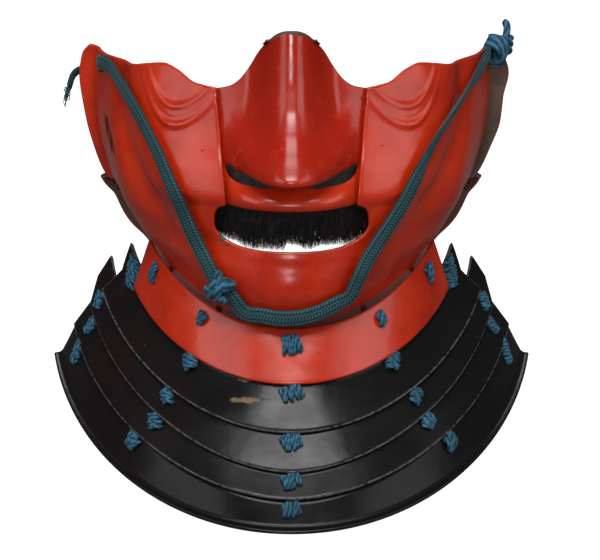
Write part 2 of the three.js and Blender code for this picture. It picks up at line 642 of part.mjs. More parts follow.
function rod(from, to, radius, sides) {
  const way = to.clone().sub(from);
  const geometry = new THREE.CylinderGeometry(radius, radius, way.length(), sides);
  const turn = new THREE.Quaternion().setFromUnitVectors(new THREE.Vector3(0, 1, 0), way.clone().normalize());
  geometry.applyQuaternion(turn);
  const middle = from.clone().add(to).multiplyScalar(0.5);
  geometry.translate(middle.x, middle.y, middle.z);
  return solidOf(geometry);
}

// A sweep through stations, each with its own level direction and normal, with a flat section of a few
// sides. Four sides make it a strap with square edges.
function sweep(stations, width, thickness, sides) {
  const turn = sides === 4 ? 0.5 : 0;
  const full = sides === 4 ? Math.SQRT2 : 1;
  const corners = [...Array(sides).keys()].map((k) => (2 * Math.PI * (k + turn)) / sides);
  const rings = stations.map(({ point, level, normal }) =>
    corners.map((angle) =>
      point
        .clone()
        .addScaledVector(level, (full * Math.cos(angle) * width) / 2)
        .addScaledVector(normal, (full * Math.sin(angle) * thickness) / 2),
    ),
  );
  const positions = rings.flat().flatMap((point) => point.toArray());
  const faces = [];
  for (let i = 0; i < rings.length - 1; i += 1) {
    for (let k = 0; k < sides; k += 1) {
      const next = (k + 1) % sides;
      const [a, b, c, d] = [sides * i + k, sides * i + next, sides * (i + 1) + next, sides * (i + 1) + k];
      faces.push(a, b, c, a, c, d);
    }
  }
  const last = sides * (rings.length - 1);
  for (let k = 1; k < sides - 1; k += 1) faces.push(0, k + 1, k, last, last + k, last + k + 1);
  const geometry = new THREE.BufferGeometry();
  geometry.setAttribute("position", new THREE.Float32BufferAttribute(positions, 3));
  geometry.setIndex(faces);
  const solid = solidOf(geometry);
  if (solid.volume() > 0) return solid;
  geometry.setIndex(faces.reverse());
  return solidOf(geometry);
}

// The stem of the collar's knot runs level through the collar and the jaw behind it.
function jawAnchor(place) {
  const outward = place.normal.clone().setZ(0).normalize();
  let inner = place.point.clone();
  for (let k = 0; k < 40; k += 1) {
    inner = place.point.clone().addScaledVector(outward, -k * 0.5);
    const surface = shellPoint(angleAt(inner.x, inner.z), inner.z);
    if (inner.clone().sub(surface).dot(outward) < -(FACE_PLATE + 2 * GAP)) break;
  }
  return { inner, outward };
}

function laceColumn({ side, angles, raised }) {
  const places = angles.map((angle, lame) => knotPlace(lame, side * angle, raised));
  const inset = LAME_PLATE + 2 * GAP + LACE_THICKNESS / 2;
  const within = (place, more) => ({
    ...place,
    point: place.point.clone().addScaledVector(place.normal, -inset - more),
  });
  const stations = [];
  const solids = [];
  const holes = [];
  places.forEach((place, lame) => {
    const knotStation = within(place, lame > 0 && !(lame === 1 && raised) ? LAP_DEPTH : 3 * GAP);
    const inside = knotStation.point;
    const slack = lame === 1 && raised ? 4 * GAP : 0;
    const [top, bend] = [0, 1].map((share) => within(placeOn(lame, side * angles[lame], share), slack));
    if (lame === 0) stations.push(knotStation);
    else if (lame === 1 && raised) stations.push(top, knotStation, bend);
    else stations.push(top, bend, knotStation);
    const face = 1.5 * GAP + KNOT_THICKNESS / 2;
    solids.push(placedKnot(place, face, KNOT_WIDTH, KNOT_HEIGHT, KNOT_THICKNESS));
    const outer = place.point.clone().addScaledVector(place.normal, face);
    solids.push(rod(inside, outer, STEM_RADIUS, 4));
    const past = place.point.clone().addScaledVector(place.normal, 2 * LAME_PLATE);
    const behind = place.point.clone().addScaledVector(place.normal, -2 * LAME_PLATE);
    holes.push(rod(behind, past, STEM_RADIUS + 2.1 * GAP, 5));
  });
  const anchor = jawAnchor(places[0]);
  const start = places[0].point.clone().addScaledVector(places[0].normal, -inset);
  solids.push(rod(anchor.inner, start, STEM_RADIUS, 4));
  const behindJaw = anchor.inner.clone().addScaledVector(anchor.outward, -2);
  const jawHole = rod(behindJaw, start, STEM_RADIUS + 2.4 * GAP, 5);
  solids.push(sweep(stations, LACE_WIDTH, LACE_THICKNESS, 4));
  return { solid: wasm.Manifold.union(solids), holes, jawHole };
}

// Moustache: a strip against the inside of the upper lip, with a brush of locks that hang below the lip.
function moustache() {
  const rows = [LIP_HEIGHT, LIP_HEIGHT + MOUSTACHE_STRIP / 2, LIP_HEIGHT + MOUSTACHE_STRIP];
  const inset = NOSE_PLATE / 0.8 + 2.2 * GAP + MOUSTACHE_THICKNESS / 2;
  const innermost = (x) => Math.max(...rows.map((row) => nosePoint(x, row).y));
  const backAt = (x) => Math.max(innermost(x - 2), innermost(x), innermost(x + 2)) + inset;
  const top = LIP_HEIGHT + MOUSTACHE_STRIP;
  const spans = 10;
  const stations = [];
  for (let i = 0; i <= spans; i += 1) {
    const x = lerp(-0.5, 0.5, i / spans) * MOUSTACHE_WIDTH;
    const point = new THREE.Vector3(x, backAt(x), top - (MOUSTACHE_STRIP + LOCK_ROOT) / 2);
    stations.push({ point, level: UP, normal: new THREE.Vector3(0, -1, 0) });
  }
  const solids = [sweep(stations, MOUSTACHE_STRIP + LOCK_ROOT, MOUSTACHE_THICKNESS, 4)];
  const spacing = MOUSTACHE_WIDTH / LOCK_COUNT;
  for (let i = 0; i < LOCK_COUNT; i += 1) {
    const x = (i + 0.5) * spacing - MOUSTACHE_WIDTH / 2;
    const length = LOCK_LENGTH * (0.85 + 0.15 * Math.cos(5 * i)) + LOCK_ROOT / 2;
    const lock = new THREE.ConeGeometry(0.66 * spacing, length, 4, 1);
    lock.rotateX(-90 * RADIAN);
    lock.scale(1, 0.6, 1);
    lock.rotateY((x / MOUSTACHE_WIDTH) * -14 * RADIAN);
    lock.translate(x, backAt(x), top - MOUSTACHE_STRIP - LOCK_ROOT / 2 - length / 2);
    solids.push(solidOf(lock));
  }
  return wasm.Manifold.union(solids);
}

// Face cord: a flat braid that comes from behind the left ear flange through a hole in the cheek beside
// it, up to the share HOLE_TO of its length, hangs across the cheek and
// the chin, where it is knotted, and is wound over the tip of the right flange. The route's points are
// the middle of the braid, and the twist turns its flat side away from the face.
const CORD_ROUTE = [
  { x: -100, y: 50, z: 34.5, twist: 0 },
  { x: -98, y: 53.5, z: 39.5, twist: 0 },
  { x: -92.5, y: 55, z: 42.5, twist: 0 },
  { x: -85, y: 52, z: 43.5, twist: 0 },
  { x: -79.8, y: 44.5, z: 44.5, twist: 0 },
  { x: -80, y: 36, z: 47, twist: 0 },
  { x: -83.8, y: 29, z: 50.2, twist: 0 },
  { x: -81.2, y: 17.2, z: 54, twist: 0 },
  { x: -77.1, y: 9.9, z: 53.4, twist: 0 },
  { x: -71.3, y: -3, z: 48.6, twist: 0 },
  { x: -65.9, y: -14.6, z: 44, twist: 0 },
  { x: -61.6, y: -21.6, z: 38.4, twist: 0 },
  { x: -57.6, y: -28, z: 32.5, twist: 0 },
  { x: -53.8, y: -33.9, z: 26.6, twist: 0 },
  { x: -50.7, y: -38.4, z: 20.3, twist: 0 },
  { x: -47.3, y: -42.3, z: 13.5, twist: 0 },
  { x: -44.2, y: -42.3, z: 6, twist: 0 },
  { x: -41.2, y: -43.4, z: -1.5, twist: 0 },
  { x: -37.8, y: -44.4, z: -8.7, twist: 0 },
  { x: -34, y: -47.6, z: -15.6, twist: 0 },
  { x: -30.2, y: -49.6, z: -22.5, twist: 0 },
  { x: -25.4, y: -51.9, z: -26, twist: 0 },
  { x: -18.9, y: -52.8, z: -33.8, twist: 0 },
  { x: -12.1, y: -55.8, z: -33.8, twist: 0 },
  { x: -4.5, y: -57.1, z: -34.6, twist: 0 },
  { x: 3.7, y: -57.7, z: -33.9, twist: 0 },
  { x: 11.5, y: -57.2, z: -31.7, twist: 0 },
  { x: 18.4, y: -55.4, z: -28.8, twist: 0 },
  { x: 23.5, y: -53, z: -26.8, twist: 10 },
  { x: 26.3, y: -52, z: -21.5, twist: 10 },
  { x: 30.3, y: -49.6, z: -13.3, twist: 0 },
  { x: 35.2, y: -47, z: -5.7, twist: 0 },
  { x: 40.1, y: -44.6, z: 1.3, twist: 0 },
  { x: 45, y: -42.2, z: 8.6, twist: 0 },
  { x: 50.3, y: -38.9, z: 18.2, twist: 0 },
  { x: 55.8, y: -32.1, z: 27.2, twist: 20 },
  { x: 61.4, y: -25.6, z: 35.1, twist: 35 },
  { x: 67.2, y: -15.6, z: 40.5, twist: 40 },
  { x: 72, y: -4.8, z: 44.1, twist: 35 },
  { x: 76.9, y: 7.5, z: 47.3, twist: 20 },
  { x: 81.8, y: 20.1, z: 50.7, twist: 0 },
  { x: 86.2, y: 32, z: 54.3, twist: 0 },
];
const CORD_STEPS = 50;
const CORD_SIDES = 6;
const KNOT_AT = 0.479;
const HOLE_TO = 0.16;

const cordCurve = new THREE.CatmullRomCurve3(
  CORD_ROUTE.map(({ x, y, z }) => new THREE.Vector3(x, y, z)),
  false,
  "centripetal",
);

function cordStation(u) {
  const point = cordCurve.getPointAt(u);
  const tangent = cordCurve.getTangentAt(u);
  const place = cordCurve.getUtoTmapping(u) * (CORD_ROUTE.length - 1);
  const before = Math.min(Math.floor(place), CORD_ROUTE.length - 2);
  const twist = lerp(CORD_ROUTE[before].twist, CORD_ROUTE[before + 1].twist, place - before);
  const back = (point.y - REAR_PLANE) / (4 * FACE_DEPTH ** 2);
  const away = new THREE.Vector3(point.x / FACE_WIDTH ** 2, back, 0);
  const level = away.addScaledVector(tangent, -away.dot(tangent)).normalize();
  const normal = level.applyAxisAngle(tangent, twist * RADIAN);
  return { point, tangent, normal, level: tangent.clone().cross(normal) };
}

function cordBetween(from, to, steps, more) {
  const stations = [...Array(steps + 1).keys()].map((i) => cordStation(lerp(from, to, i / steps)));
  return sweep(stations, CORD_WIDTH + more, CORD_THICKNESS + more, CORD_SIDES);
}

// Lumps of braid fused into one piece, placed on a station's level, tangent and normal directions.
function lumps(station, table) {
  const { point, level, tangent, normal } = station;
  const solids = table.map(({ across, along, out, width, length, thickness, turn }) => {
    const geometry = new THREE.SphereGeometry(0.5, 7, 4);
    geometry.scale(width, length, thickness);
    geometry.rotateZ(turn * RADIAN);
    geometry.applyMatrix4(new THREE.Matrix4().makeBasis(level, tangent, normal));
    const at = point.clone().addScaledVector(level, across).addScaledVector(tangent, along);
    at.addScaledVector(normal, out);
    geometry.translate(at.x, at.y, at.z);
    return solidOf(geometry);
  });
  return wasm.Manifold.union(solids);
}

const KNOT_LUMPS = [
  { across: 0, along: 0, out: 1.2, width: 11, length: 8.5, thickness: 7, turn: 0 },
  { across: 2.5, along: -3.2, out: 1.4, width: 8, length: 5, thickness: 5.6, turn: 35 },
  { across: -4.5, along: -3.5, out: 1.6, width: 8.5, length: 3.6, thickness: 4.2, turn: 25 },
  { across: -4, along: 3.4, out: 1.6, width: 9, length: 3.6, thickness: 4.2, turn: -30 },
];
const WRAP_LUMPS = [
  { across: 2, along: 9, out: 1.5, width: 9, length: 15, thickness: 10, turn: 10 },
  { across: 1, along: 14.5, out: 2, width: 14, length: 8, thickness: 11, turn: 20 },
  { across: -4, along: 17, out: 2.5, width: 8, length: 5, thickness: 6, turn: 50 },
];

// Assembly
const guard = new THREE.Group();

function addPiece(name, solid, finish) {
  const mesh = new THREE.Mesh(geometryOf(solid), new THREE.MeshStandardMaterial(finish));
  mesh.name = name;
  guard.add(mesh);
}

const laces = LACE_COLUMNS.map((column) => ({ ...column, ...laceColumn(column) }));
const cordHole = cordBetween(0, HOLE_TO, 14, 7 * GAP);
const shellCuts = [...laces.map((lace) => lace.jawHole), slit(), cordHole];
addPiece("face_shell", sheet(shellLattice(0), FACE_PLATE).subtract(wasm.Manifold.union(shellCuts)), RED);

const nostrils = wasm.Manifold.union([nostril(-1), nostril(1)]);
addPiece("nose_plate", sheet(noseLattice(), NOSE_PLATE).subtract(nostrils), RED);
addPiece("moustache", moustache(), HAIR);

LAME_NAMES.forEach((name, lame) => {
  const holes = wasm.Manifold.union(laces.map((lace) => lace.holes[lame]));
  addPiece(name, sheet(lameLattice(lame), LAME_PLATE).subtract(holes), lame === 0 ? RED : BLACK);
});
laces.forEach((lace) => addPiece(lace.name, lace.solid, BLUE));

const shellRise = sheet(shellLattice(1.5 * GAP), FACE_PLATE + 3 * GAP);
const shellRoom = shellRise.add(shellRise.translate([0, 0, 2 * GAP]));
const cordRoom = cordBetween(0, 1, CORD_STEPS, 3 * GAP);
addPiece("face_cord", cordBetween(0, 1, CORD_STEPS, 0), TEAL);
const lumpRoom = cordRoom.add(shellRoom);
const trimmed = (solid) => solid.subtract(lumpRoom).simplify(LUMP_FINENESS);
addPiece("cord_knot", trimmed(lumps(cordStation(KNOT_AT), KNOT_LUMPS)), TEAL);
addPiece("cord_wrap", trimmed(lumps(cordStation(1), WRAP_LUMPS)), TEAL);

export default guard;
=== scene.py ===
"""Looks for the samurai face guard: fine lacquered plates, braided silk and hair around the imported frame.

Lengths are in millimetres until a mesh is made. The face looks along -Y, +Z is up, and +X is to the
viewer's right.
"""

import math

import bpy
import numpy as np
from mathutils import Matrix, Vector
from mathutils.kdtree import KDTree


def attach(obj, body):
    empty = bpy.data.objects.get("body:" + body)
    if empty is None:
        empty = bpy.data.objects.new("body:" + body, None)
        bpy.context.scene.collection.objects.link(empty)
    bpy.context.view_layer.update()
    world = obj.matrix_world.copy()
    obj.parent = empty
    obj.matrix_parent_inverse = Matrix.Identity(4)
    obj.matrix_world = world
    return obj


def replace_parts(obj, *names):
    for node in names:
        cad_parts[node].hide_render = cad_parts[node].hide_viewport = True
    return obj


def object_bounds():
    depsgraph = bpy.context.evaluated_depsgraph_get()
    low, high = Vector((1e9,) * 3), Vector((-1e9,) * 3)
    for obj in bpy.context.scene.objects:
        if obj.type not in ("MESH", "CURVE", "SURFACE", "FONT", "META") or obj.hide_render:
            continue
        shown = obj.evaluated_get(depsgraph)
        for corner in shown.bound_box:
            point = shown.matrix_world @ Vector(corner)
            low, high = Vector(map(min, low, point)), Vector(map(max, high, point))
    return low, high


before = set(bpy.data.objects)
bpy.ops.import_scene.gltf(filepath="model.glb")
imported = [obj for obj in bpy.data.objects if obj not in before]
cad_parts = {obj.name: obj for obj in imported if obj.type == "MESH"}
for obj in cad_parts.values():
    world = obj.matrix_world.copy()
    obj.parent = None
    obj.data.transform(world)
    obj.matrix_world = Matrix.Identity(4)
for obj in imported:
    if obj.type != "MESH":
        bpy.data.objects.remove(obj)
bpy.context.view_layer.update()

MM = 0.001
ROOT = "root"
rng = np.random.default_rng(7)


def table(columns, *rows):
    """Rows of numbers under named columns."""
    return {name: np.array([row[i] for row in rows], float) for i, name in enumerate(columns.split())}


def bell(distance, spread):
    return np.exp(-0.5 * (distance / spread) ** 2)


def lerp(a, b, t):
    return a + (b - a) * t


def smoothstep(x, low, high):
    t = np.clip((x - low) / (high - low), 0, 1)
    return t * t * (3 - 2 * t)


def through(rows, key, column):
    """A smooth curve through a table's rows that never overshoots them, as a function of the key column."""
    keys, values = rows[key], rows[column]
    steps = np.diff(keys)
    slopes = np.diff(values) / steps
    tangents = np.zeros(len(keys))
    tangents[0], tangents[-1] = slopes[0], slopes[-1]
    for i in range(1, len(keys) - 1):
        if slopes[i - 1] * slopes[i] > 0:
            before = 2 * steps[i] + steps[i - 1]
            after = steps[i] + 2 * steps[i - 1]
            tangents[i] = (before + after) / (before / slopes[i - 1] + after / slopes[i])

    def at(x):
        held = np.clip(x, keys[0], keys[-1])
        i = np.clip(np.searchsorted(keys, held) - 1, 0, len(steps) - 1)
        t = (held - keys[i]) / steps[i]
        rise = t * t * (3 - 2 * t)
        leave = t * (1 - t) * (1 - t) * steps[i] * tangents[i]
        arrive = t * t * (t - 1) * steps[i] * tangents[i + 1]
        return values[i] + rise * (values[i + 1] - values[i]) + leave + arrive

    return at


def curves(rows, key, columns):
    """One such curve for each of the named columns."""
    return [through(rows, key, column) for column in columns.split()]


def unit(vectors):
    return vectors / np.maximum(np.linalg.norm(vectors, axis=-1, keepdims=True), 1e-9)


def run_along(points):
    """The way along a path at each of its points."""
    return np.concatenate([[0], np.cumsum(np.linalg.norm(np.diff(points, axis=0), axis=1))])


def sampled(values, run, at):
    """Points or directions that are known at some ways along a path, read at others."""
    values = np.asarray(values)
    return np.stack([np.interp(at, run, values[:, k]) for k in range(3)], 1)


def around(sides):
    """The angles of a ring's points."""
    return 2 * math.pi * np.arange(sides) / sides


def flattened(wave, power):
    """A sine or cosine that a power below 1 pushes towards a square wave."""
    return np.sign(wave) * np.abs(wave) ** power


# Camera, floor and light
VIEW_ELEVATION = math.radians(18)
VIEW_DISTANCE = 800
PIXEL = 0.43
CENTRE_PX, CENTRE_PY = 291.5, 194.0
PHOTO_WIDTH, PHOTO_HEIGHT = 600, 560
SENSOR = 36.0


def seen(points):
    """Where points fall in the photograph's frame, in its pixels."""
    x, y, z = np.moveaxis(np.asarray(points, float), -1, 0)
    up = y * math.sin(VIEW_ELEVATION) + z * math.cos(VIEW_ELEVATION)
    away = y * math.cos(VIEW_ELEVATION) - z * math.sin(VIEW_ELEVATION)
    scale = PIXEL * (1 + away / VIEW_DISTANCE)
    return CENTRE_PX + x / scale, CENTRE_PY - up / scale


def make_camera():
    data = bpy.data.cameras.new("camera")
    data.sensor_width = SENSOR
    data.lens = SENSOR * VIEW_DISTANCE / (PHOTO_WIDTH * PIXEL)
    data.shift_x = (PHOTO_WIDTH / 2 - CENTRE_PX) / PHOTO_WIDTH
    data.shift_y = (CENTRE_PY - PHOTO_HEIGHT / 2) / PHOTO_WIDTH
    data.clip_start, data.clip_end = 0.05, 20
    camera = bpy.data.objects.new("camera", data)
    back = Vector((0, -math.cos(VIEW_ELEVATION), math.sin(VIEW_ELEVATION)))
    camera.location = back * VIEW_DISTANCE * MM
    camera.rotation_euler = (-back).to_track_quat("-Z", "Y").to_euler()
    bpy.context.scene.collection.objects.link(camera)
    bpy.context.scene.camera = camera


make_camera()


# Face cord: the route's points are the middle of the braid, and the twist turns its flat side
CORD_WIDTH, CORD_THICKNESS = 7.0, 2.4
FACE_WIDTH, FACE_DEPTH, REAR_PLANE = 176.0, 110.0, 55.0
CORD_ROUTE = table(
    "x y z twist",
    (-100, 50, 34.5, 0),
    (-98, 53.5, 39.5, 0),
    (-92.5, 55, 42.5, 0),
    (-85, 52, 43.5, 0),
    (-79.8, 44.5, 44.5, 0),
    (-80, 36, 47, 0),
    (-83.8, 29, 50.2, 0),
    (-81.2, 17.2, 54, 0),
    (-77.1, 9.9, 53.4, 0),
    (-71.3, -3, 48.6, 0),
    (-65.9, -14.6, 44, 0),
    (-61.6, -21.6, 38.4, 0),
    (-57.6, -28, 32.5, 0),
    (-53.8, -33.9, 26.6, 0),
    (-50.7, -38.4, 20.3, 0),
    (-47.3, -42.3, 13.5, 0),
    (-44.2, -42.3, 6, 0),
    (-41.2, -43.4, -1.5, 0),
    (-37.8, -44.4, -8.7, 0),
    (-34, -47.6, -15.6, 0),
    (-30.2, -49.6, -22.5, 0),
    (-25.4, -51.9, -26, 0),
    (-18.9, -52.8, -33.8, 0),
    (-12.1, -55.8, -33.8, 0),
    (-4.5, -57.1, -34.6, 0),
    (3.7, -57.7, -33.9, 0),
    (11.5, -57.2, -31.7, 0),
    (18.4, -55.4, -28.8, 0),
    (23.5, -53, -26.8, 10),
    (26.3, -52, -21.5, 10),
    (30.3, -49.6, -13.3, 0),
    (35.2, -47, -5.7, 0),
    (40.1, -44.6, 1.3, 0),
    (45, -42.2, 8.6, 0),
    (50.3, -38.9, 18.2, 0),
    (55.8, -32.1, 27.2, 20),
    (61.4, -25.6, 35.1, 35),
    (67.2, -15.6, 40.5, 40),
    (72, -4.8, 44.1, 35),
    (76.9, 7.5, 47.3, 20),
    (81.8, 20.1, 50.7, 0),
    (86.2, 32, 54.3, 0),
)
KNOT_AT, HOLE_TO = 0.479, 0.16
CORD_PER_SPAN, TANGENT_STEP = 60, 0.4


def cord_curve():
    """The route as one smooth curve: its points, the way along it at each, and their twist."""
    knots = np.stack([CORD_ROUTE[c] for c in "xyz"], 1)
    padded = np.vstack([2 * knots[0] - knots[1], knots, 2 * knots[-1] - knots[-2]])
    t = np.arange(CORD_PER_SPAN)[:, None] / CORD_PER_SPAN
    points = []
    for i in range(len(knots) - 1):
        a, b, c, d = padded[i : i + 4]
        before, span, after = (math.sqrt(np.linalg.norm(q - p)) for p, q in ((a, b), (b, c), (c, d)))
        leave = ((b - a) / before - (c - a) / (before + span) + (c - b) / span) * span
        arrive = ((c - b) / span - (d - b) / (span + after) + (d - c) / after) * span
        square, cube = t * t, t**3
        points.append(
            (2 * cube - 3 * square + 1) * b
            + (cube - 2 * square + t) * leave
            + (3 * square - 2 * cube) * c
            + (cube - square) * arrive
        )
    points = np.vstack([*points, knots[-1:]])
    place = np.linspace(0, len(knots) - 1, len(points))
    return points, run_along(points), np.interp(place, np.arange(len(knots)), CORD_ROUTE["twist"])


CORD_POINTS, CORD_RUN, CORD_TWIST = cord_curve()
CORD_LENGTH = CORD_RUN[-1]


def cord_station(u):
    """Points, tangents, normals and level directions at shares of the cord's length."""
    at = np.atleast_1d(u) * CORD_LENGTH
    point = sampled(CORD_POINTS, CORD_RUN, at)
    ahead = sampled(CORD_POINTS, CORD_RUN, np.minimum(at + TANGENT_STEP, CORD_LENGTH))
    behind = sampled(CORD_POINTS, CORD_RUN, np.maximum(at - TANGENT_STEP, 0))
    tangent = unit(ahead - behind)
    back = (point[:, 1] - REAR_PLANE) / (4 * FACE_DEPTH**2)
    away = np.stack([point[:, 0] / FACE_WIDTH**2, back, 0 * back], 1)
    normal = unit(away - (away * tangent).sum(1, keepdims=True) * tangent)
    twist = np.radians(np.interp(at, CORD_RUN, CORD_TWIST))[:, None]
    normal = normal * np.cos(twist) + np.cross(tangent, normal) * np.sin(twist)
    return point, tangent, normal, np.cross(tangent, normal)


# Mesh making
def new_piece(name, points, faces, slot, material, **masks):
    """A mesh piece from points in millimetres, with float attributes for its material to read."""
    mesh = bpy.data.meshes.new(name)
    faces = faces.tolist() if isinstance(faces, np.ndarray) else faces
    mesh.from_pydata((np.asarray(points, float) * MM).tolist(), [], faces)
    for key, values in masks.items():
        attribute = mesh.attributes.new(key, "FLOAT", "POINT")
        attribute.data.foreach_set("value", np.asarray(values, np.float32))
    mesh.polygons.foreach_set("use_smooth", np.ones(len(mesh.polygons), bool))
    mesh.validate()
    mesh.update()
    piece = bpy.data.objects.new(name, mesh)
    bpy.context.scene.collection.objects.link(piece)
    mesh.materials.append(material)
    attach(piece, ROOT)
    return piece


def grid_faces(rows, columns, start=0, closed=False, flip=False):
    """Quads of a lattice of rows and columns. Closed joins the last column to the first."""
    spans = columns if closed else columns - 1
    i, j = np.meshgrid(np.arange(rows - 1), np.arange(spans), indexing="ij")
    i, j = i.ravel(), j.ravel()
    after = (j + 1) % columns
    here, below = i * columns, (i + 1) * columns
    quads = np.stack([here + j, here + after, below + after, below + j], 1)
    return (quads[:, ::-1] if flip else quads) + start


def end_faces(rows, sides):
    """The two faces that close a tube of rows and sides."""
    last = sides * (rows - 1)
    return [list(range(sides))[::-1], list(range(last, last + sides))]


def lattice_normals(points):
    along = np.gradient(points, axis=0)
    across = np.gradient(points, axis=1)
    return unit(np.cross(across, along))


EDGE_RINGS, EDGE_BULGE = 5, 0.35


def sheet(points, thickness):
    """A closed plate whose outer face is a lattice of points, with rounded edges.

    Gives points, faces, and for each point its way from the plate's edge and how far inside it is.
    """
    rows, columns = points.shape[:2]
    normals = lattice_normals(points)
    outer = points.reshape(-1, 3)
    inner = (points - thickness * normals).reshape(-1, 3)
    index = np.arange(rows * columns).reshape(rows, columns)
    loop = np.concatenate([index[0], index[1:, -1], index[-1, -2::-1], index[-2:0:-1, 0]])
    edge, edge_normal = outer[loop], normals.reshape(-1, 3)[loop]
    tangent = unit(np.roll(edge, -1, 0) - np.roll(edge, 1, 0))
    outward = unit(np.cross(tangent, edge_normal))
    middle = points[rows // 2, columns // 2]
    if ((edge - middle) * outward).sum() < 0:
        outward = -outward
    turns = math.pi * np.arange(1, EDGE_RINGS + 1) / (EDGE_RINGS + 1)
    depths = (1 - np.cos(turns)) / 2
    bulge = EDGE_BULGE * thickness * outward
    rings = [edge - thickness * d * edge_normal + math.sin(turn) * bulge for turn, d in zip(turns, depths)]
    count = len(outer)
    ring_index = 2 * count + np.arange(EDGE_RINGS * len(loop)).reshape(EDGE_RINGS, -1)
    wall = np.vstack([loop, ring_index, loop + count])
    faces = [grid_faces(rows, columns), grid_faces(rows, columns, count, flip=True)]
    here, after = wall[:-1], wall[1:]
    quads = np.stack([here, after, np.roll(after, -1, 1), np.roll(here, -1, 1)], -1).reshape(-1, 4)
    faces.append(quads)
    tree = KDTree(len(loop))
    for k, point in enumerate(edge):
        tree.insert(point, k)
    tree.balance()
    reach = np.array([tree.find(point)[2] for point in outer])
    away = np.concatenate([reach, reach, np.zeros(EDGE_RINGS * len(loop))])
    inside = np.concatenate([np.zeros(count), np.ones(count), np.repeat(depths, len(loop))])
    return np.vstack([outer, inner, *rings]), np.vstack(faces), away, inside


def tube(path, radius, sides=10, section=None, caps=True):
    """A tube along a path. Radius is one number or one for each point, and section shapes each ring."""
    path = np.asarray(path, float)
    tangent = unit(np.gradient(path, axis=0))
    normal = np.cross(tangent[0], [0.0, 0.0, 1.0] if abs(tangent[0][2]) < 0.9 else [1.0, 0.0, 0.0])
    normals = []
    for way in tangent:
        normal = normal - way * np.dot(normal, way)
        normal = normal / np.linalg.norm(normal)
        normals.append(normal)
    normals = np.array(normals)
    level = np.cross(tangent, normals)
    turn = around(sides)
    radius = np.broadcast_to(radius, len(path))[:, None, None]
    ring = np.cos(turn)[None, :, None] * normals[:, None] + np.sin(turn)[None, :, None] * level[:, None]
    if section is not None:
        radius = radius * section(np.arange(len(path))[:, None], turn[None])[..., None]
    points = (path[:, None] + radius * ring).reshape(-1, 3)
    faces = grid_faces(len(path), sides, closed=True, flip=True).tolist()
    if caps:
        last = sides * (len(path) - 1)
        faces += [[0, k, k + 1] for k in range(1, sides - 1)]
        faces += [[last, last + k + 1, last + k] for k in range(1, sides - 1)]
    return points, faces


def merged(parts):
    """Several (points, faces) as one."""
    points, faces, start = [], [], 0
    for part_points, part_faces in parts:
        points.append(part_points)
        faces += [[k + start for k in face] for face in part_faces]
        start += len(part_points)
    return np.vstack(points), faces


def cut(piece, cutters):
    """Cuts closed shapes out of a piece for good."""
    points, faces = merged(cutters)
    mesh = bpy.data.meshes.new("cutter")
    mesh.from_pydata((points * MM).tolist(), [], faces)
    cutter = bpy.data.objects.new("cutter", mesh)
    bpy.context.scene.collection.objects.link(cutter)
    boolean = piece.modifiers.new("cut", "BOOLEAN")
    boolean.operation, boolean.solver, boolean.object = "DIFFERENCE", "MANIFOLD", cutter
    result = bpy.data.meshes.new_from_object(piece.evaluated_get(bpy.context.evaluated_depsgraph_get()))
    piece.modifiers.clear()
    piece.data = result
    bpy.data.objects.remove(cutter)


# Materials
class Shader:
    """A node material that is built up from short calls."""

    def __init__(self, name):
        self.material = bpy.data.materials.new(name)
        self.material.use_nodes = True
        self.tree = self.material.node_tree
        self.surface = self.tree.nodes["Principled BSDF"]
        self.place = self.add("ShaderNodeTexCoord").outputs["Object"]

    def add(self, kind, settings=(), **inputs):
        node = self.tree.nodes.new(kind)
        for key, value in dict(settings).items():
            setattr(node, key, value)
        for key, value in inputs.items():
            self.feed(node.inputs[int(key[1:]) if key[0] == "_" else key.replace("_", " ")], value)
        return node

    def feed(self, socket, value):
        if isinstance(value, bpy.types.NodeSocket):
            self.tree.links.new(value, socket)
        else:
            socket.default_value = value

    def noise(self, scale, detail=4.0, rough=0.5, stretch=None):
        place = self.place
        if stretch is not None:
            scaled = self.add("ShaderNodeVectorMath", {"operation": "MULTIPLY"}, _0=place, _1=stretch)
            place = scaled.outputs[0]
        node = self.add("ShaderNodeTexNoise", Vector=place, Scale=scale, Detail=detail, Roughness=rough)
        return node.outputs["Fac"]

    def mask(self, name):
        return self.add("ShaderNodeAttribute", {"attribute_name": name}).outputs["Fac"]

    def span(self, value, low, high, to_low=0.0, to_high=1.0):
        node = self.add("ShaderNodeMapRange", {"clamp": True}, Value=value, From_Min=low, From_Max=high)
        self.feed(node.inputs["To Min"], to_low)
        self.feed(node.inputs["To Max"], to_high)
        return node.outputs["Result"]

    def math(self, operation, a, b=0.0):
        return self.add("ShaderNodeMath", {"operation": operation}, _0=a, _1=b).outputs[0]

    def times(self, a, b):
        return self.math("MULTIPLY", a, b)

    def plus(self, a, b):
        return self.math("ADD", a, b)

    def blend(self, a, b, share):
        node = self.add("ShaderNodeMix", {"data_type": "RGBA"}, _0=share)
        self.feed(node.inputs[6], a)
        self.feed(node.inputs[7], b)
        return node.outputs[2]

    def bump(self, height, distance, strength=1.0, under=None):
        node = self.add("ShaderNodeBump", Height=height, Distance=distance, Strength=strength)
        if under is not None:
            self.feed(node.inputs["Normal"], under)
        return node.outputs["Normal"]

    def finish(self, **sockets):
        for key, value in sockets.items():
            self.feed(self.surface.inputs[key.replace("_", " ")], value)
        return self.material


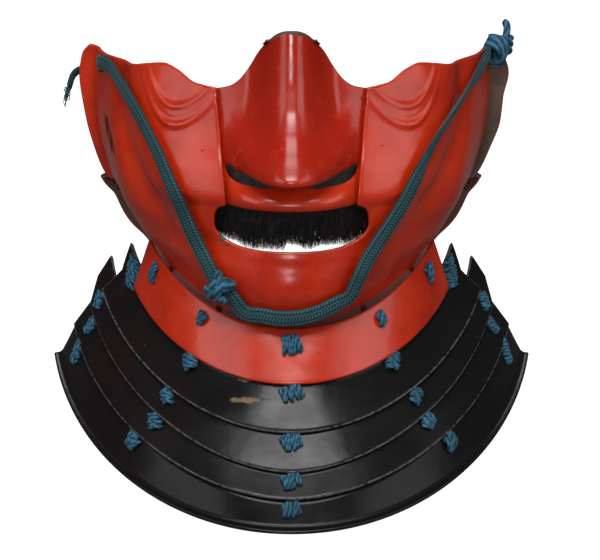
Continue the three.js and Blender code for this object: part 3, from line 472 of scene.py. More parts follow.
RED = (0.5, 0.026, 0.004, 1)
RED_DEEP = (0.33, 0.011, 0.002, 1)
RED_PALE = (0.56, 0.038, 0.009, 1)
UNDERCOAT = (0.055, 0.03, 0.02, 1)
IRON = (0.075, 0.052, 0.04, 1)
IRON_RUST = (0.12, 0.055, 0.03, 1)
INSIDE = (0.035, 0.012, 0.008, 1)
BLACK = (0.006, 0.0055, 0.006, 1)
BLACK_WARM = (0.011, 0.0055, 0.005, 1)
TAN = (0.3, 0.19, 0.1, 1)
EDGE_GREY = (0.12, 0.112, 0.11, 1)
HAIR_DARK, HAIR_PALE = (0.006, 0.005, 0.005, 1), (0.03, 0.022, 0.018, 1)
# Braid tones run from painted shade for the furrows, through the silk's colour, to a painted highlight for
# the crowns.
BLUE_TONES = ((0.001, 0.008, 0.02, 1), (0.011, 0.12, 0.21, 1), (0.055, 0.3, 0.42, 1))
TEAL_TONES = ((0.001, 0.009, 0.014, 1), (0.018, 0.125, 0.145, 1), (0.07, 0.31, 0.33, 1))
INSIDE_FROM, INSIDE_TO = 0.55, 0.75
IRON_ROUGH, SILK_ROUGH, HAIR_ROUGH = 0.62, 0.75, 0.42
BLACK_SPECULAR = 0.18
SHEEN, SHEEN_ROUGH = 0.08, 0.4


def red_lacquer():
    """Clouded red, darkened by painted shade near plate edges and on the nose, and chipped to the iron where
    it is worn.
    """
    s = Shader("red lacquer")
    colour = s.blend(RED_DEEP, RED, s.span(s.noise(28, 5, 0.6), 0.3, 0.56))
    colour = s.blend(colour, RED_PALE, s.times(s.span(s.noise(95, 3), 0.55, 0.8), 0.5))
    # Painted shade: a mask darkens the red towards RED_DEEP near plate edges and on the nose, broken up by
    # noise.
    soil = s.times(s.mask("soil"), s.span(s.noise(160, 5, 0.7), 0.3, 0.6))
    colour = s.blend(colour, RED_DEEP, soil)
    ragged = s.noise(520, 6, 0.7)
    worn = s.plus(s.span(s.mask("edge"), 0.0, 1.0, 0.33, 0.0), s.times(s.mask("wear"), 0.75))
    chipped = s.span(s.plus(worn, s.plus(ragged, -0.5)), 0.47, 0.53)
    stripped = s.span(s.plus(s.mask("bare"), s.times(ragged, 0.3)), 0.62, 0.7)
    bare = s.math("MAXIMUM", chipped, stripped)
    iron = s.blend(IRON, IRON_RUST, s.span(s.noise(150, 6, 0.7), 0.42, 0.62))
    iron = s.blend(UNDERCOAT, iron, s.span(s.noise(60, 3), 0.35, 0.6))
    colour = s.blend(colour, iron, bare)
    colour = s.blend(colour, INSIDE, s.span(s.mask("inside"), INSIDE_FROM, INSIDE_TO))
    rough = s.span(s.noise(70, 4), 0.3, 0.7, 0.17, 0.3)
    rough = s.add("ShaderNodeMix", _0=bare, _2=rough, _3=IRON_ROUGH).outputs[0]
    ripple = s.bump(s.noise(55, 2), 0.0008, 0.5)
    grain = s.bump(s.noise(900, 3), 0.00003, 0.35, ripple)
    rust = s.bump(s.times(bare, s.plus(s.noise(700, 6, 0.75), -1.2)), 0.0004, 0.8, grain)
    return s.finish(Base_Color=colour, Roughness=rough, Normal=rust)


def black_lacquer():
    """Black with a warm cast in places, grey edges and tan scuffs."""
    s = Shader("black lacquer")
    warm = s.times(s.mask("warm"), s.span(s.noise(60, 4), 0.3, 0.6))
    colour = s.blend(BLACK, BLACK_WARM, warm)
    ragged = s.plus(s.noise(420, 6, 0.7), -0.5)
    edge = s.span(s.plus(s.span(s.mask("edge"), 0.0, 0.5, 0.42, 0.0), ragged), 0.3, 0.42)
    colour = s.blend(colour, EDGE_GREY, s.times(edge, 0.7))
    scuff = s.span(s.plus(s.times(s.mask("wear"), 0.8), ragged), 0.5, 0.62)
    colour = s.blend(colour, TAN, s.times(scuff, 0.55))
    inner = s.times(s.span(s.mask("inside"), INSIDE_FROM, INSIDE_TO), 0.6)
    colour = s.blend(colour, INSIDE, inner)
    smear = s.noise(26, 6, 0.62, stretch=(1.0, 1.0, 2.2))
    rough = s.plus(s.span(smear, 0.3, 0.75, 0.16, 0.36), s.times(scuff, 0.3))
    ripple = s.bump(s.noise(38, 3), 0.0008, 0.5)
    grain = s.bump(s.noise(800, 3), 0.00003, 0.4, ripple)
    chips = s.bump(s.times(scuff, -1.0), 0.0002, 0.6, grain)
    return s.finish(Base_Color=colour, Roughness=rough, Normal=chips, Specular_IOR_Level=BLACK_SPECULAR)


def braid(name, dark, light, pale):
    """Twisted silk: the mask yarn is 1 on the crowns of the strands and 0 in the furrows between them."""
    s = Shader(name)
    yarn = s.mask("yarn")
    thread = s.noise(2600, 3, 0.6)
    # Painted shade in the furrows and a painted highlight on the crowns, both set by the yarn mask.
    colour = s.blend(dark, light, s.span(yarn, 0.3, 0.9))
    crowns = s.times(s.span(thread, 0.5, 0.72), s.span(yarn, 0.55, 1.0, 0.0, 0.8))
    colour = s.blend(colour, pale, crowns)
    colour = s.blend(colour, dark, s.times(s.span(s.noise(120, 4), 0.5, 0.7), 0.45))
    fuzz = s.bump(thread, 0.00012, 0.7)
    return s.finish(
        Base_Color=colour, Roughness=SILK_ROUGH, Normal=fuzz, Sheen_Weight=SHEEN, Sheen_Roughness=SHEEN_ROUGH
    )


def hair_material():
    s = Shader("hair")
    tone = s.blend(HAIR_DARK, HAIR_PALE, s.span(s.noise(420, 3), 0.45, 0.75))
    return s.finish(Base_Color=tone, Roughness=HAIR_ROUGH)


RED_LACQUER = red_lacquer()
BLACK_LACQUER = black_lacquer()
BLUE_BRAID = braid("blue braid", *BLUE_TONES)
TEAL_BRAID = braid("teal braid", *TEAL_TONES)
HAIR = hair_material()


# Face shell: plan ellipses from the cheeks to the chin, as shares of the face's sizes
FACE_PLATE, NOSE_PLATE, LAME_PLATE, GAP = 1.8, 1.6, 1.6, 0.35
CHEEK_HEIGHT, JAW_HEIGHT = 56.0, 50.0
SEAM_TOP_WIDTH, SEAM_FOOT_WIDTH = 62.0, 54.0
MOUTH_WIDTH, LIP_HEIGHT, MOUTH_FLOOR = 64.0, 11.0, 7.8
RIM_WIDTH, RELIEF = 11.0, 4.0
FOLD_RELIEF, FOLD_WIDTH = 1.15, 0.95

SECTIONS = table(
    "level width front",
    (-1.1, 0.56, 0.8),
    (-0.92, 0.62, 0.855),
    (-0.8, 0.68, 0.92),
    (-0.64, 0.73, 0.982),
    (-0.48, 0.765, 0.998),
    (-0.32, 0.83, 0.99),
    (-0.16, 0.885, 0.972),
    (0.0, 0.935, 0.98),
    (0.2, 0.975, 0.98),
    (0.4, 1.0, 0.945),
    (0.62, 1.01, 0.882),
    (0.98, 0.994, 0.809),
    (1.47, 0.9, 0.7),
)
section_width, section_front = curves(SECTIONS, "level", "width front")


def level_of(z):
    return np.where(z > 0, z / CHEEK_HEIGHT, z / JAW_HEIGHT)


def height_of(level):
    return np.where(level > 0, level * CHEEK_HEIGHT, level * JAW_HEIGHT)


def half_width_at(z):
    return section_width(level_of(z)) * FACE_WIDTH / 2


def depth_at(z):
    return section_front(level_of(z)) * FACE_DEPTH


def angle_at(x, z):
    return np.degrees(np.arcsin(np.clip(x / half_width_at(z), -1, 1)))


# Swellings of the face: degrees from the front, heights as levels, rises as shares of the relief
SWELLINGS = table(
    "angle level angle_span level_span rise",
    (34, 0.52, 12, 0.34, 0.85),
    (44, 1.05, 9, 0.2, 0.35),
    (55, -0.02, 5.5, 0.3, 0.75),
    (0, -0.5, 17, 0.2, 0.8),
    (0, -0.19, 13, 0.05, 0.35),
    (66, 0.75, 8, 0.4, -0.3),
    (27, 0.02, 4, 0.2, 0.3),
)
GROOVE = table(
    "level angle depth",
    (-0.3, 36, 0.0),
    (-0.1, 39, 0.35),
    (0.12, 43, 0.7),
    (0.35, 48, 0.65),
    (0.65, 53, 0.55),
    (1.1, 57, 0.5),
)
GROOVE_SPREAD = 3.6
groove_angle, groove_depth = curves(GROOVE, "level", "angle depth")
FOLDS = table("level rise", (0.7, 1.0), (0.77, 0.45), (0.825, 0.9))
FOLD_MIDDLE, FOLD_SPAN = 32, 12
FOLD_CURL_FRONT, FOLD_CURL_REAR = 0.0016, 0.0023
LEDGE_LEVEL, LEDGE_SPREAD, LEDGE_FROM, LEDGE_TO, LEDGE_DROP = 0.2, 0.05, 21, 37, 0.35


def shell_relief(angle, z):
    """How far the face's swellings, folds and grooves stand out from the plan ellipses."""
    side, level = np.abs(angle), level_of(z)
    rise = np.zeros_like(side)
    for at_angle, at_level, angle_span, level_span, share in zip(*SWELLINGS.values()):
        rise += share * RELIEF * bell(side - at_angle, angle_span) * bell(level - at_level, level_span)
    rise -= groove_depth(level) * RELIEF * bell(side - groove_angle(level), GROOVE_SPREAD)
    away = side - FOLD_MIDDLE
    curl = np.where(away > 0, FOLD_CURL_REAR, FOLD_CURL_FRONT)
    for fold_level, fold_rise in zip(*FOLDS.values()):
        height = height_of(fold_level + curl * away * away)
        rise += fold_rise * FOLD_RELIEF * bell(z - height, FOLD_WIDTH) * bell(away / FOLD_SPAN, 0.6)
    below = 1 - smoothstep(level, LEDGE_LEVEL - LEDGE_SPREAD, LEDGE_LEVEL + LEDGE_SPREAD)
    across = bell((side - (LEDGE_FROM + LEDGE_TO) / 2) / (LEDGE_TO - LEDGE_FROM), 0.5)
    return rise - LEDGE_DROP * RELIEF * below * across * smoothstep(level, -0.3, 0)


def shell_point(angle, z):
    angle, z = np.broadcast_arrays(np.asarray(angle, float), np.asarray(z, float))
    half, depth = half_width_at(z), depth_at(z)
    sine, cosine = np.sin(np.radians(angle)), np.cos(np.radians(angle))
    outward = unit(np.stack([depth * sine, -half * cosine, np.zeros_like(sine)], -1))
    point = np.stack([half * sine, REAR_PLANE - depth * cosine, z], -1)
    return point + outward * shell_relief(angle, z)[..., None]


def seam_x(z):
    rise = np.clip((z - LIP_HEIGHT) / (CHEEK_HEIGHT - LIP_HEIGHT), 0, 1)
    return lerp(SEAM_FOOT_WIDTH, SEAM_TOP_WIDTH, rise) / 2


HALF_MOUTH = MOUTH_WIDTH / 2
INNER_EDGE = table(
    "along x z",
    (0.0, seam_x(CHEEK_HEIGHT), 0.975 * CHEEK_HEIGHT),
    (0.5, seam_x(LIP_HEIGHT), LIP_HEIGHT),
    (0.535, 0.93 * HALF_MOUTH, 0.86 * LIP_HEIGHT),
    (0.565, 0.99 * HALF_MOUTH, 0.55 * LIP_HEIGHT),
    (0.6, HALF_MOUTH, 0.12 * LIP_HEIGHT),
    (0.64, 0.95 * HALF_MOUTH, -0.35 * MOUTH_FLOOR),
    (0.69, 0.83 * HALF_MOUTH, -0.7 * MOUTH_FLOOR),
    (0.76, 0.62 * HALF_MOUTH, -0.93 * MOUTH_FLOOR),
    (0.86, 0.35 * HALF_MOUTH, -MOUTH_FLOOR),
    (1.0, 0, -MOUTH_FLOOR),
)
OUTER_EDGE = table(
    "along angle level",
    (0.0, 80, 0.98),
    (0.25, 80, 0.5),
    (0.45, 79.5, 0.07),
    (0.51, 80, -0.08),
    (0.56, 87, -0.12),
    (0.6, 83, -0.22),
    (0.65, 75, -0.38),
    (0.7, 67, -0.56),
    (0.76, 56, -0.78),
    (0.84, 38, -0.93),
    (0.92, 19, -1.01),
    (1.0, 0, -1.03),
)
TOP_EDGE = table(
    "across level",
    (0.0, 0.0),
    (0.1, 0.02),
    (0.2, 0.095),
    (0.27, 0.122),
    (0.36, 0.1),
    (0.47, 0.06),
    (0.56, 0.04),
    (0.68, 0.035),
    (0.85, 0.01),
    (1.0, 0.0),
)
# The turned-out rim: the ear flange down to the notch, then the jaw rim. Left and right are shares of
# the rim's width, and turn is in degrees.
RIM = table(
    "along left right turn",
    (0.0, 0.5, 0.6, 60),
    (0.04, 0.8, 0.9, 72),
    (0.12, 0.85, 1.15, 80),
    (0.22, 0.7, 0.85, 80),
    (0.3, 0.6, 0.85, 80),
    (0.4, 0.5, 0.6, 80),
    (0.47, 0.45, 0.45, 80),
    (0.515, 0.2, 0.2, 85),
    (0.54, 0.3, 0.3, 80),
    (0.56, 1.7, 1.6, 70),
    (0.6, 0.75, 0.75, 90),
    (0.65, 0.5, 0.5, 110),
    (0.7, 0.06, 0.06, 60),
    (0.73, 0.05, 0.05, 30),
    (0.78, 0.05, 0.05, 0),
    (1.0, 0.05, 0.05, 0),
)
# How the fine rows are spread along the shell's edge, denser at the mouth's corner and the notch
ROW_SPREAD = table("share along", (0, 0), (0.4, 0.49), (0.68, 0.6), (0.82, 0.72), (1, 1))
SHELL_ROWS, SHELL_COLUMNS, RIM_COLUMNS = 150, 96, 20

inner_x, inner_z = curves(INNER_EDGE, "along", "x z")
outer_angle, outer_level = curves(OUTER_EDGE, "along", "angle level")
top_hump = through(TOP_EDGE, "across", "level")
rim_left, rim_right, rim_turn = curves(RIM, "along", "left right turn")


def turned_rim(edge, before, normals, width, turn, steps):
    """Columns that carry a lattice past its edge, turning outwards through an angle over a width."""
    onward = unit(edge - before)
    point, columns = edge, []
    for k in range(1, steps + 1):
        angle = np.radians(turn)[:, None] * k / steps
        point = point + (onward * np.cos(angle) + normals * np.sin(angle)) * (width / steps)[:, None]
        columns.append(point)
    return np.stack(columns, 1)


def shell_lattice():
    share = np.linspace(0, 1, SHELL_ROWS)
    along = np.interp(share, ROW_SPREAD["share"], ROW_SPREAD["along"])
    along = np.concatenate([along, along[-2::-1]])[:, None]
    side = np.where(np.arange(len(along)) < SHELL_ROWS, -1, 1)[:, None]
    across = np.linspace(0, 1, SHELL_COLUMNS)[None]
    start_z = inner_z(along)
    start = angle_at(inner_x(along), start_z)
    angle = lerp(start, outer_angle(along), across)
    hump = top_hump(across) * np.clip(1 - along / 0.5, 0, 1) ** 2
    z = lerp(start_z, height_of(outer_level(along)), across) + hump * CHEEK_HEIGHT
    points = shell_point(side * angle, z)
    normals = lattice_normals(points)[:, -1]
    width = RIM_WIDTH * np.where(side < 0, rim_left(along), rim_right(along))[:, 0]
    rim = turned_rim(points[:, -1], points[:, -2], normals, width, rim_turn(along[:, 0]), RIM_COLUMNS)
    beyond = np.concatenate([np.zeros(SHELL_COLUMNS), np.arange(1, RIM_COLUMNS + 1) / RIM_COLUMNS])
    return np.concatenate([points, rim], 1), along[:, 0], side[:, 0], beyond


# Wear that the photograph shows, by the place of each spot in its frame and its radii in pixels
RED_SPOTS = table(
    "px py wide high strength",
    (202, 151, 3.0, 1.6, 0.9),
    (383, 146, 2.6, 1.6, 0.9),
    (196, 191.5, 16, 1.0, 0.75),
    (393, 190.5, 17, 1.0, 0.75),
    (361, 98, 1.2, 1.2, 1.2),
    (221, 241, 3.0, 1.1, 0.95),
    (227, 245.5, 3.4, 1.2, 0.95),
    (295, 264, 9.0, 0.8, 0.7),
    (476, 196, 5.0, 1.2, 0.9),
    (270, 38, 9.0, 4.0, 0.72),
    (300, 33, 16, 3.6, 0.78),
    (222, 236, 3.0, 3.0, 0.7),
    (237, 170, 7.0, 2.4, 0.6),
    (350, 172, 7.0, 2.4, 0.6),
    (322, 353, 9.0, 0.7, 0.75),
    (268, 341, 8.0, 1.6, 0.7),
    (120, 215, 3.0, 12, 0.6),
    (107, 125, 1.3, 9, 1.2),
    (111.5, 143, 1.3, 9, 1.2),
)
BLACK_SPOTS = table(
    "px py wide high strength",
    (245, 380, 10, 3.2, 0.9),
    (246, 400, 24, 4.5, 0.86),
    (269, 496, 5.0, 1.2, 0.95),
    (143, 347, 6.0, 9.0, 0.5),
    (436, 370, 9.0, 9.0, 0.45),
    (300, 437, 40, 2.0, 0.35),
)
SPOT_FALL, SPOT_POWER = 0.7, 1.5


def spots(points, marks):
    """How strongly the marks wear each point: they fade towards their radii."""
    px, py = seen(points)
    total = np.zeros(len(px))
    for spot_x, spot_y, wide, high, strength in zip(*marks.values()):
        away = ((px - spot_x) / wide) ** 2 + ((py - spot_y) / high) ** 2
        total = np.maximum(total, strength * np.exp(-SPOT_FALL * away**SPOT_POWER))
    return total


def ellipsoid(middle, axes, rings=24, sides=32):
    """A closed ellipsoid; axes are three vectors from its middle to its surface."""
    rise = np.linspace(0, math.pi, rings + 1)[1:-1, None]
    turn = around(sides)
    ring = [np.sin(rise) * np.cos(turn), np.sin(rise) * np.sin(turn), np.cos(rise) + 0 * turn]
    ring = np.stack(ring, -1).reshape(-1, 3)
    points = np.vstack([ring, [[0, 0, 1], [0, 0, -1]]]) @ np.asarray(axes, float) + middle
    faces = grid_faces(rings - 1, sides, closed=True).tolist()
    top, foot, last = len(ring), len(ring) + 1, sides * (rings - 2)
    faces += [[top, (k + 1) % sides, k] for k in range(sides)]
    faces += [[foot, last + k, last + (k + 1) % sides] for k in range(sides)]
    if np.linalg.det(np.asarray(axes, float)) < 0:
        return points, faces
    return points, [face[::-1] for face in faces]


def rod(start, end, radius, sides=20):
    return tube(np.linspace(start, end, 2), radius, sides)


SLIT_STEPS, SLIT_SIDES, SLIT_REACH, SLIT_SPREAD = 16, 12, 4.0, 4.2
SLIT_TOP, SLIT_FOOT, SLIT_BOW = (-67.5, 0.56), (-57.5, 0.32), 0.9


def slit_cutter():
    """The crack beside the crease of the left ear flange, with tapered ends."""
    share = np.linspace(0, 1, SLIT_STEPS)
    angles = lerp(SLIT_TOP[0], SLIT_FOOT[0], share) - SLIT_BOW * np.sin(math.pi * share)
    path = shell_point(angles, height_of(lerp(SLIT_TOP[1], SLIT_FOOT[1], share)))
    outward = unit((path - [0, REAR_PLANE, 0]) * [1, 1, 0])
    wide = SLIT_SPREAD * np.sin(lerp(0.12, math.pi - 0.2, share**0.8)) ** 0.8
    points, faces = tube(path, wide, SLIT_SIDES)
    middle, away, radius = (np.repeat(each, SLIT_SIDES, 0) for each in (path, outward, wide[:, None]))
    depth = ((points - middle) * away).sum(1, keepdims=True)
    return points + away * depth * (SLIT_REACH / radius - 1), faces


# Throat guard: each row is the lower edge of a lame, from the collar's top edge downwards
COLLAR_TOP, COLLAR_WIDTH, COLLAR_DEPTH = 42.6, 145.6, 105.0
GUARD_DROP, GUARD_WIDTH, GUARD_DEPTH = 68.0, 214.4, 145.0
END_RISE, LAP, GUARD_RIM = 50.0, 6.5, 3.6
EDGES = table(
    "drop depth width rise curl end",
    (0, 0, 0, 0.88, 1, 58.4),
    (0.272, 0.3, 0.155, 0.686, 1, 62),
    (0.522, 0.55, 0.51, 1.01, 0.92, 67.3),
    (0.725, 0.75, 0.64, 1.046, 0.8, 70.5),
    (0.857, 0.9, 0.85, 0.986, 0.85, 72.2),
    (1, 1, 1, 0.88, 1, 74.2),
)
LAPS = table(
    "lap top end_lap out bow straight",
    (1, 58.4, 1, 0, 1, 0),
    (1, 70, 1.6, 1, 1, 0.5),
    (1, 75, 1.1, 0.9, 1, 0.5),
    (0.7, 74, 0.5, 0, 1, 0),
    (0.55, 73.5, 0.4, 0, 2.5, 0),
)
LAME_COUNT = 5
LAP_DEPTH = LAME_PLATE + 3 * GAP
EDGE_DROP = 1.5


def edge_point(row, angle):
    """A point on the lower edge of the lame above the row, or on the collar's top edge for row 0."""
    width = lerp(COLLAR_WIDTH, GUARD_WIDTH, EDGES["width"][row]) / 2
    depth = lerp(COLLAR_DEPTH, GUARD_DEPTH, EDGES["depth"][row])
    turned = 1 - np.cos(np.radians(angle))
    rise = EDGES["rise"][row] * END_RISE * turned ** EDGES["curl"][row]
    height = rise - COLLAR_TOP - EDGES["drop"][row] * GUARD_DROP
    return np.stack([width * np.sin(np.radians(angle)), REAR_PLANE - depth * (1 - turned), height], -1)


def lame_point(lame, angle, down):
    """Down is 0 at the top edge, 1 where the lame comes out from its neighbour, and 2 at its foot."""
    angle, down = np.broadcast_arrays(np.asarray(angle, float), np.asarray(down, float))
    foot = edge_point(lame + 1, angle)
    share = down[..., None]
    if lame == 0:
        return lerp(edge_point(0, angle), foot, share / 2)
    above_foot = lame_point(lame - 1, angle, 2.0)
    way = unit(above_foot - lame_point(lame - 1, angle, 1.4))
    radians = np.radians(angle)
    across = np.stack([np.cos(radians), np.sin(radians), np.zeros_like(radians)], -1)
    inward = unit(np.cross(across, way))
    to_end = smoothstep(np.abs(angle), EDGES["end"][lame], LAPS["top"][lame])
    depth = LAP_DEPTH * (1 - LAPS["out"][lame] * to_end)[..., None]
    lap = LAP * lerp(LAPS["lap"][lame], LAPS["end_lap"][lame], to_end)[..., None]
    top = above_foot - way * lap + inward * depth
    straight = (LAPS["straight"][lame] * to_end)[..., None]
    turn = lerp(above_foot + way * EDGE_DROP + inward * depth, (top + foot) / 2, straight)
    return np.where(share < 1, lerp(top, turn, share), lerp(turn, foot, share - 1))


def end_angle(lame, down):
    """Where the lame's end is, in degrees from the front."""
    return lerp(LAPS["top"][lame], EDGES["end"][lame + 1], (down / 2) ** LAPS["bow"][lame])


LAME_STEPS, LAME_ROWS, LAP_ROWS = 240, 22, 8
GUARD_RIM_ROWS, GUARD_RIM_TURN = 12, 75


def lame_lattice(lame):
    down = np.linspace(0, 2, LAME_ROWS)[None]
    if lame:
        lap = np.linspace(0, 1, LAP_ROWS + 1)[:-1]
        down = np.concatenate([lap, np.linspace(1, 2, LAME_ROWS - LAP_ROWS)])[None]
    share = np.linspace(-1, 1, LAME_STEPS)[:, None]
    points = lame_point(lame, share * end_angle(lame, down), down + 0 * share)
    if lame == LAME_COUNT - 1:
        normals = lattice_normals(points)[:, -1]
        width, turn = np.full(len(points), GUARD_RIM), np.full(len(points), GUARD_RIM_TURN)
        rim = turned_rim(points[:, -1], points[:, -2], normals, width, turn, GUARD_RIM_ROWS)
        points = np.concatenate([points, rim], 1)
    return points


# Lacing: the angle of each column's knots on the lames, from the collar down
LACE_WIDTH, LACE_THICKNESS, STEM_RADIUS = 4.6, 1.2, 1.4
RAISED_KNOT_DOWN, COLLAR_KNOT_DOWN, KNOT_DROP = 0.5, 0.55, 2.2
END_COLUMN = (52, 65, 67, 67, 67)
MID_COLUMN = (30, 32.5, 34.5, 36.5, 40)
LACE_COLUMNS = (
    ("lacing_end_left", -1, END_COLUMN, True),
    ("lacing_mid_left", -1, MID_COLUMN, False),
    ("lacing_center", 1, (0, 0, 0, 0, 0), False),
    ("lacing_mid_right", 1, MID_COLUMN, False),
    ("lacing_end_right", 1, END_COLUMN, True),
)


def place_on(lame, angle, share):
    """A place on a lame's face: its point, level tangent, the way it falls and its outward normal."""
    at = lambda turn, down: lame_point(lame, turn, down).reshape(3)
    point = at(angle, share)
    level = unit(at(angle + 0.5, share) - at(angle - 0.5, share))
    fall = unit(at(angle, share + 0.04) - at(angle, max(share - 0.04, 0)))
    return point, level, fall, unit(np.cross(fall, level))


def knot_place(lame, angle, raised):
    run = np.linalg.norm(lame_point(lame, angle, 2.0) - lame_point(lame, angle, 1.0))
    if lame == 0:
        return place_on(lame, angle, COLLAR_KNOT_DOWN)
    return place_on(lame, angle, RAISED_KNOT_DOWN if lame == 1 and raised else 1 + KNOT_DROP / run)


def jaw_anchor(point, normal):
    """Where a lace that starts at a point on the collar comes out inside the shell, and its way out."""
    outward = unit(normal * [1, 1, 0])
    inner = point.copy()
    for k in range(40):
        inner = point - outward * k * 0.5
        surface = shell_point(angle_at(inner[0], inner[2]), inner[2])
        if np.dot(inner - surface, outward) < -(FACE_PLATE + 2 * GAP):
            break
    return inner, outward


def lace_holes(lame, reach, radius):
    """Rods through a lame at each of its knots."""
    rods = []
    for _, way, angles, raised in LACE_COLUMNS:
        point, _, _, normal = knot_place(lame, way * angles[lame], raised)
        rods.append(rod(point - reach * normal, point + reach * normal, radius))
    return rods


# Where the lacquer ends on the right ear flange and on both jaw rims, as shares of the rim's width
FLANGE_BARE, JAW_BARE = (0.05, 0.3), (0.35, 0.6)
FLANGE_FOOT, JAW_RIM_FOOT = 0.53, 0.7
# Painted shade near the shell's and the collar's edges: how far it reaches in millimetres, and its strength.
SHELL_SHADE_REACH, COLLAR_SHADE_REACH, EDGE_SHADE = 6, 5, 0.3
HOLE_FROM, CORD_ROOM = 0.1, 0.42
# The black lames are warmer towards the left of the photograph's frame, the last one least
WARM_FROM_PX, WARM_TO_PX, LAME_WARM, LAST_WARM = 230, 110, 0.9, 0.35


def build_shell():
    lattice, along, side, beyond = shell_lattice()
    points, faces, away, inside = sheet(lattice, FACE_PLATE)
    flange = (side > 0)[:, None] & (along < FLANGE_FOOT)[:, None]
    jaw = ((along > FLANGE_FOOT) & (along < JAW_RIM_FOOT))[:, None]
    bare = np.where(flange, smoothstep(beyond[None], *FLANGE_BARE), 0)
    bare = (bare + np.where(jaw, smoothstep(beyond[None], *JAW_BARE), 0)).ravel()
    bare = np.concatenate([bare, bare, np.zeros(len(points) - 2 * bare.size)])
    wear = spots(points, RED_SPOTS) * (inside < 0.5)
    # The shell's red is darkened by painted shade within a few millimetres of its edges, where shade would
    # fall.
    shell = new_piece(
        "cheek_and_jaw_plate", points, faces, "red_lacquer", RED_LACQUER, edge=away, inside=inside,
        bare=bare, wear=wear, soil=smoothstep(away, SHELL_SHADE_REACH, 0) * EDGE_SHADE,
    )
    cutters = [slit_cutter()]
    for _, way, angles, raised in LACE_COLUMNS:
        point, _, _, normal = knot_place(0, way * angles[0], raised)
        inner, outward = jaw_anchor(point, normal)
        cutters.append(rod(inner - 2 * outward, point + 2 * outward, STEM_RADIUS + 2.4 * GAP))
    run = cord_station(np.linspace(HOLE_FROM, HOLE_TO - 0.01, 40))[0]
    cutters.append(tube(run, CORD_WIDTH * CORD_ROOM, 16))
    cut(shell, cutters)
    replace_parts(shell, "face_shell")


def build_lames():
    for lame in range(LAME_COUNT):
        points, faces, away, inside = sheet(lame_lattice(lame), LAME_PLATE)
        px, _ = seen(points)
        last, front = lame == LAME_COUNT - 1, inside < 0.5
        masks = {"edge": away + last, "inside": inside}
        if lame == 0:
            name, slot, material = "collar_lame", "red_lacquer", RED_LACQUER
            # Painted shade near the collar's edges.
            soil = smoothstep(away, COLLAR_SHADE_REACH, 0) * EDGE_SHADE
            masks |= {"bare": 0 * away, "wear": spots(points, RED_SPOTS) * front, "soil": soil}
        else:
            name, slot, material = f"throat_lame_{lame}", "black_lacquer", BLACK_LACQUER
            warm = smoothstep(px, WARM_FROM_PX, WARM_TO_PX) * (LAST_WARM if last else LAME_WARM)
            masks |= {"warm": warm, "wear": spots(points, BLACK_SPOTS) * front}
        piece = new_piece(name + "_plate", points, faces, slot, material, **masks)
        cut(piece, lace_holes(lame, 3, STEM_RADIUS + 2.1 * GAP))
        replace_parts(piece, name)


# Nose plate: a height field in front of the shell's own surface, set back behind the cheek edges
NOSE_HEIGHT, NOSE_TOP_WIDTH, NOSE_RISE, NOSE_WIDTH, SEAM_LAP = 80.5, 19.2, 26.5, 54.0, 3.0
NOSTRIL_LENGTH, NOSTRIL_HEIGHT = 15.0, 5.4
NOSE_SET_BACK = (FACE_PLATE + GAP) / 0.86
NOSE_SECTIONS = table(
    "height rise half",
    (0.18, 0.0, 1.0),
    (0.245, 0.06, 1.0),
    (0.262, 0.16, 1.0),
    (0.28, 0.48, 1.0),
    (0.298, 0.8, 1.0),
    (0.32, 0.96, 1.0),
    (0.35, 1.0, 1.0),
    (0.39, 0.98, 0.97),
    (0.45, 0.9, 0.88),
    (0.54, 0.75, 0.78),
    (0.64, 0.66, 0.72),
    (0.74, 0.64, 0.7),
    (0.85, 0.68, 0.7),
    (1.0, 0.76, 0.74),
)
nose_rise, nose_half = curves(NOSE_SECTIONS, "height", "rise half")
WING_X, WING_HEIGHT, WING_SPREAD_X, WING_SPREAD_Z, WING_RISE, WING_FOOT = 0.74, 0.4, 0.19, 0.08, 0.23, 0.3
LIP_AT, LIP_SPREAD, LIP_RISE = 0.168, 0.06, 0.3
FOOT_LIFT = 1.8


def nose_relief(x, z):
    """How far the ridge, the wings and the lip stand out from the shell behind them."""
    share = np.abs(x) / (NOSE_WIDTH / 2)
    height = (z - FOOT_LIFT * share * share) / NOSE_HEIGHT
    spread = np.clip(share / nose_half(height), 0, 1)
    ridge = nose_rise(height) * (1 + np.cos(math.pi * spread**1.2)) / 2
    wing = WING_RISE * bell(share - WING_X, WING_SPREAD_X) * bell(height - WING_HEIGHT, WING_SPREAD_Z)
    wing = wing * smoothstep(height, WING_FOOT - 0.03, WING_FOOT + 0.02)
    lip = LIP_RISE * bell(height - LIP_AT, LIP_SPREAD) * np.clip(1 - share**4, 0, 1)
    return NOSE_RISE * (ridge + wing + lip)


def nose_point(x, z):
    x, z = np.broadcast_arrays(np.asarray(x, float), np.asarray(z, float))
    back = REAR_PLANE - depth_at(z) * np.cos(np.radians(angle_at(x, z))) + NOSE_SET_BACK
    return np.stack([x, back - nose_relief(x, z), z], -1)


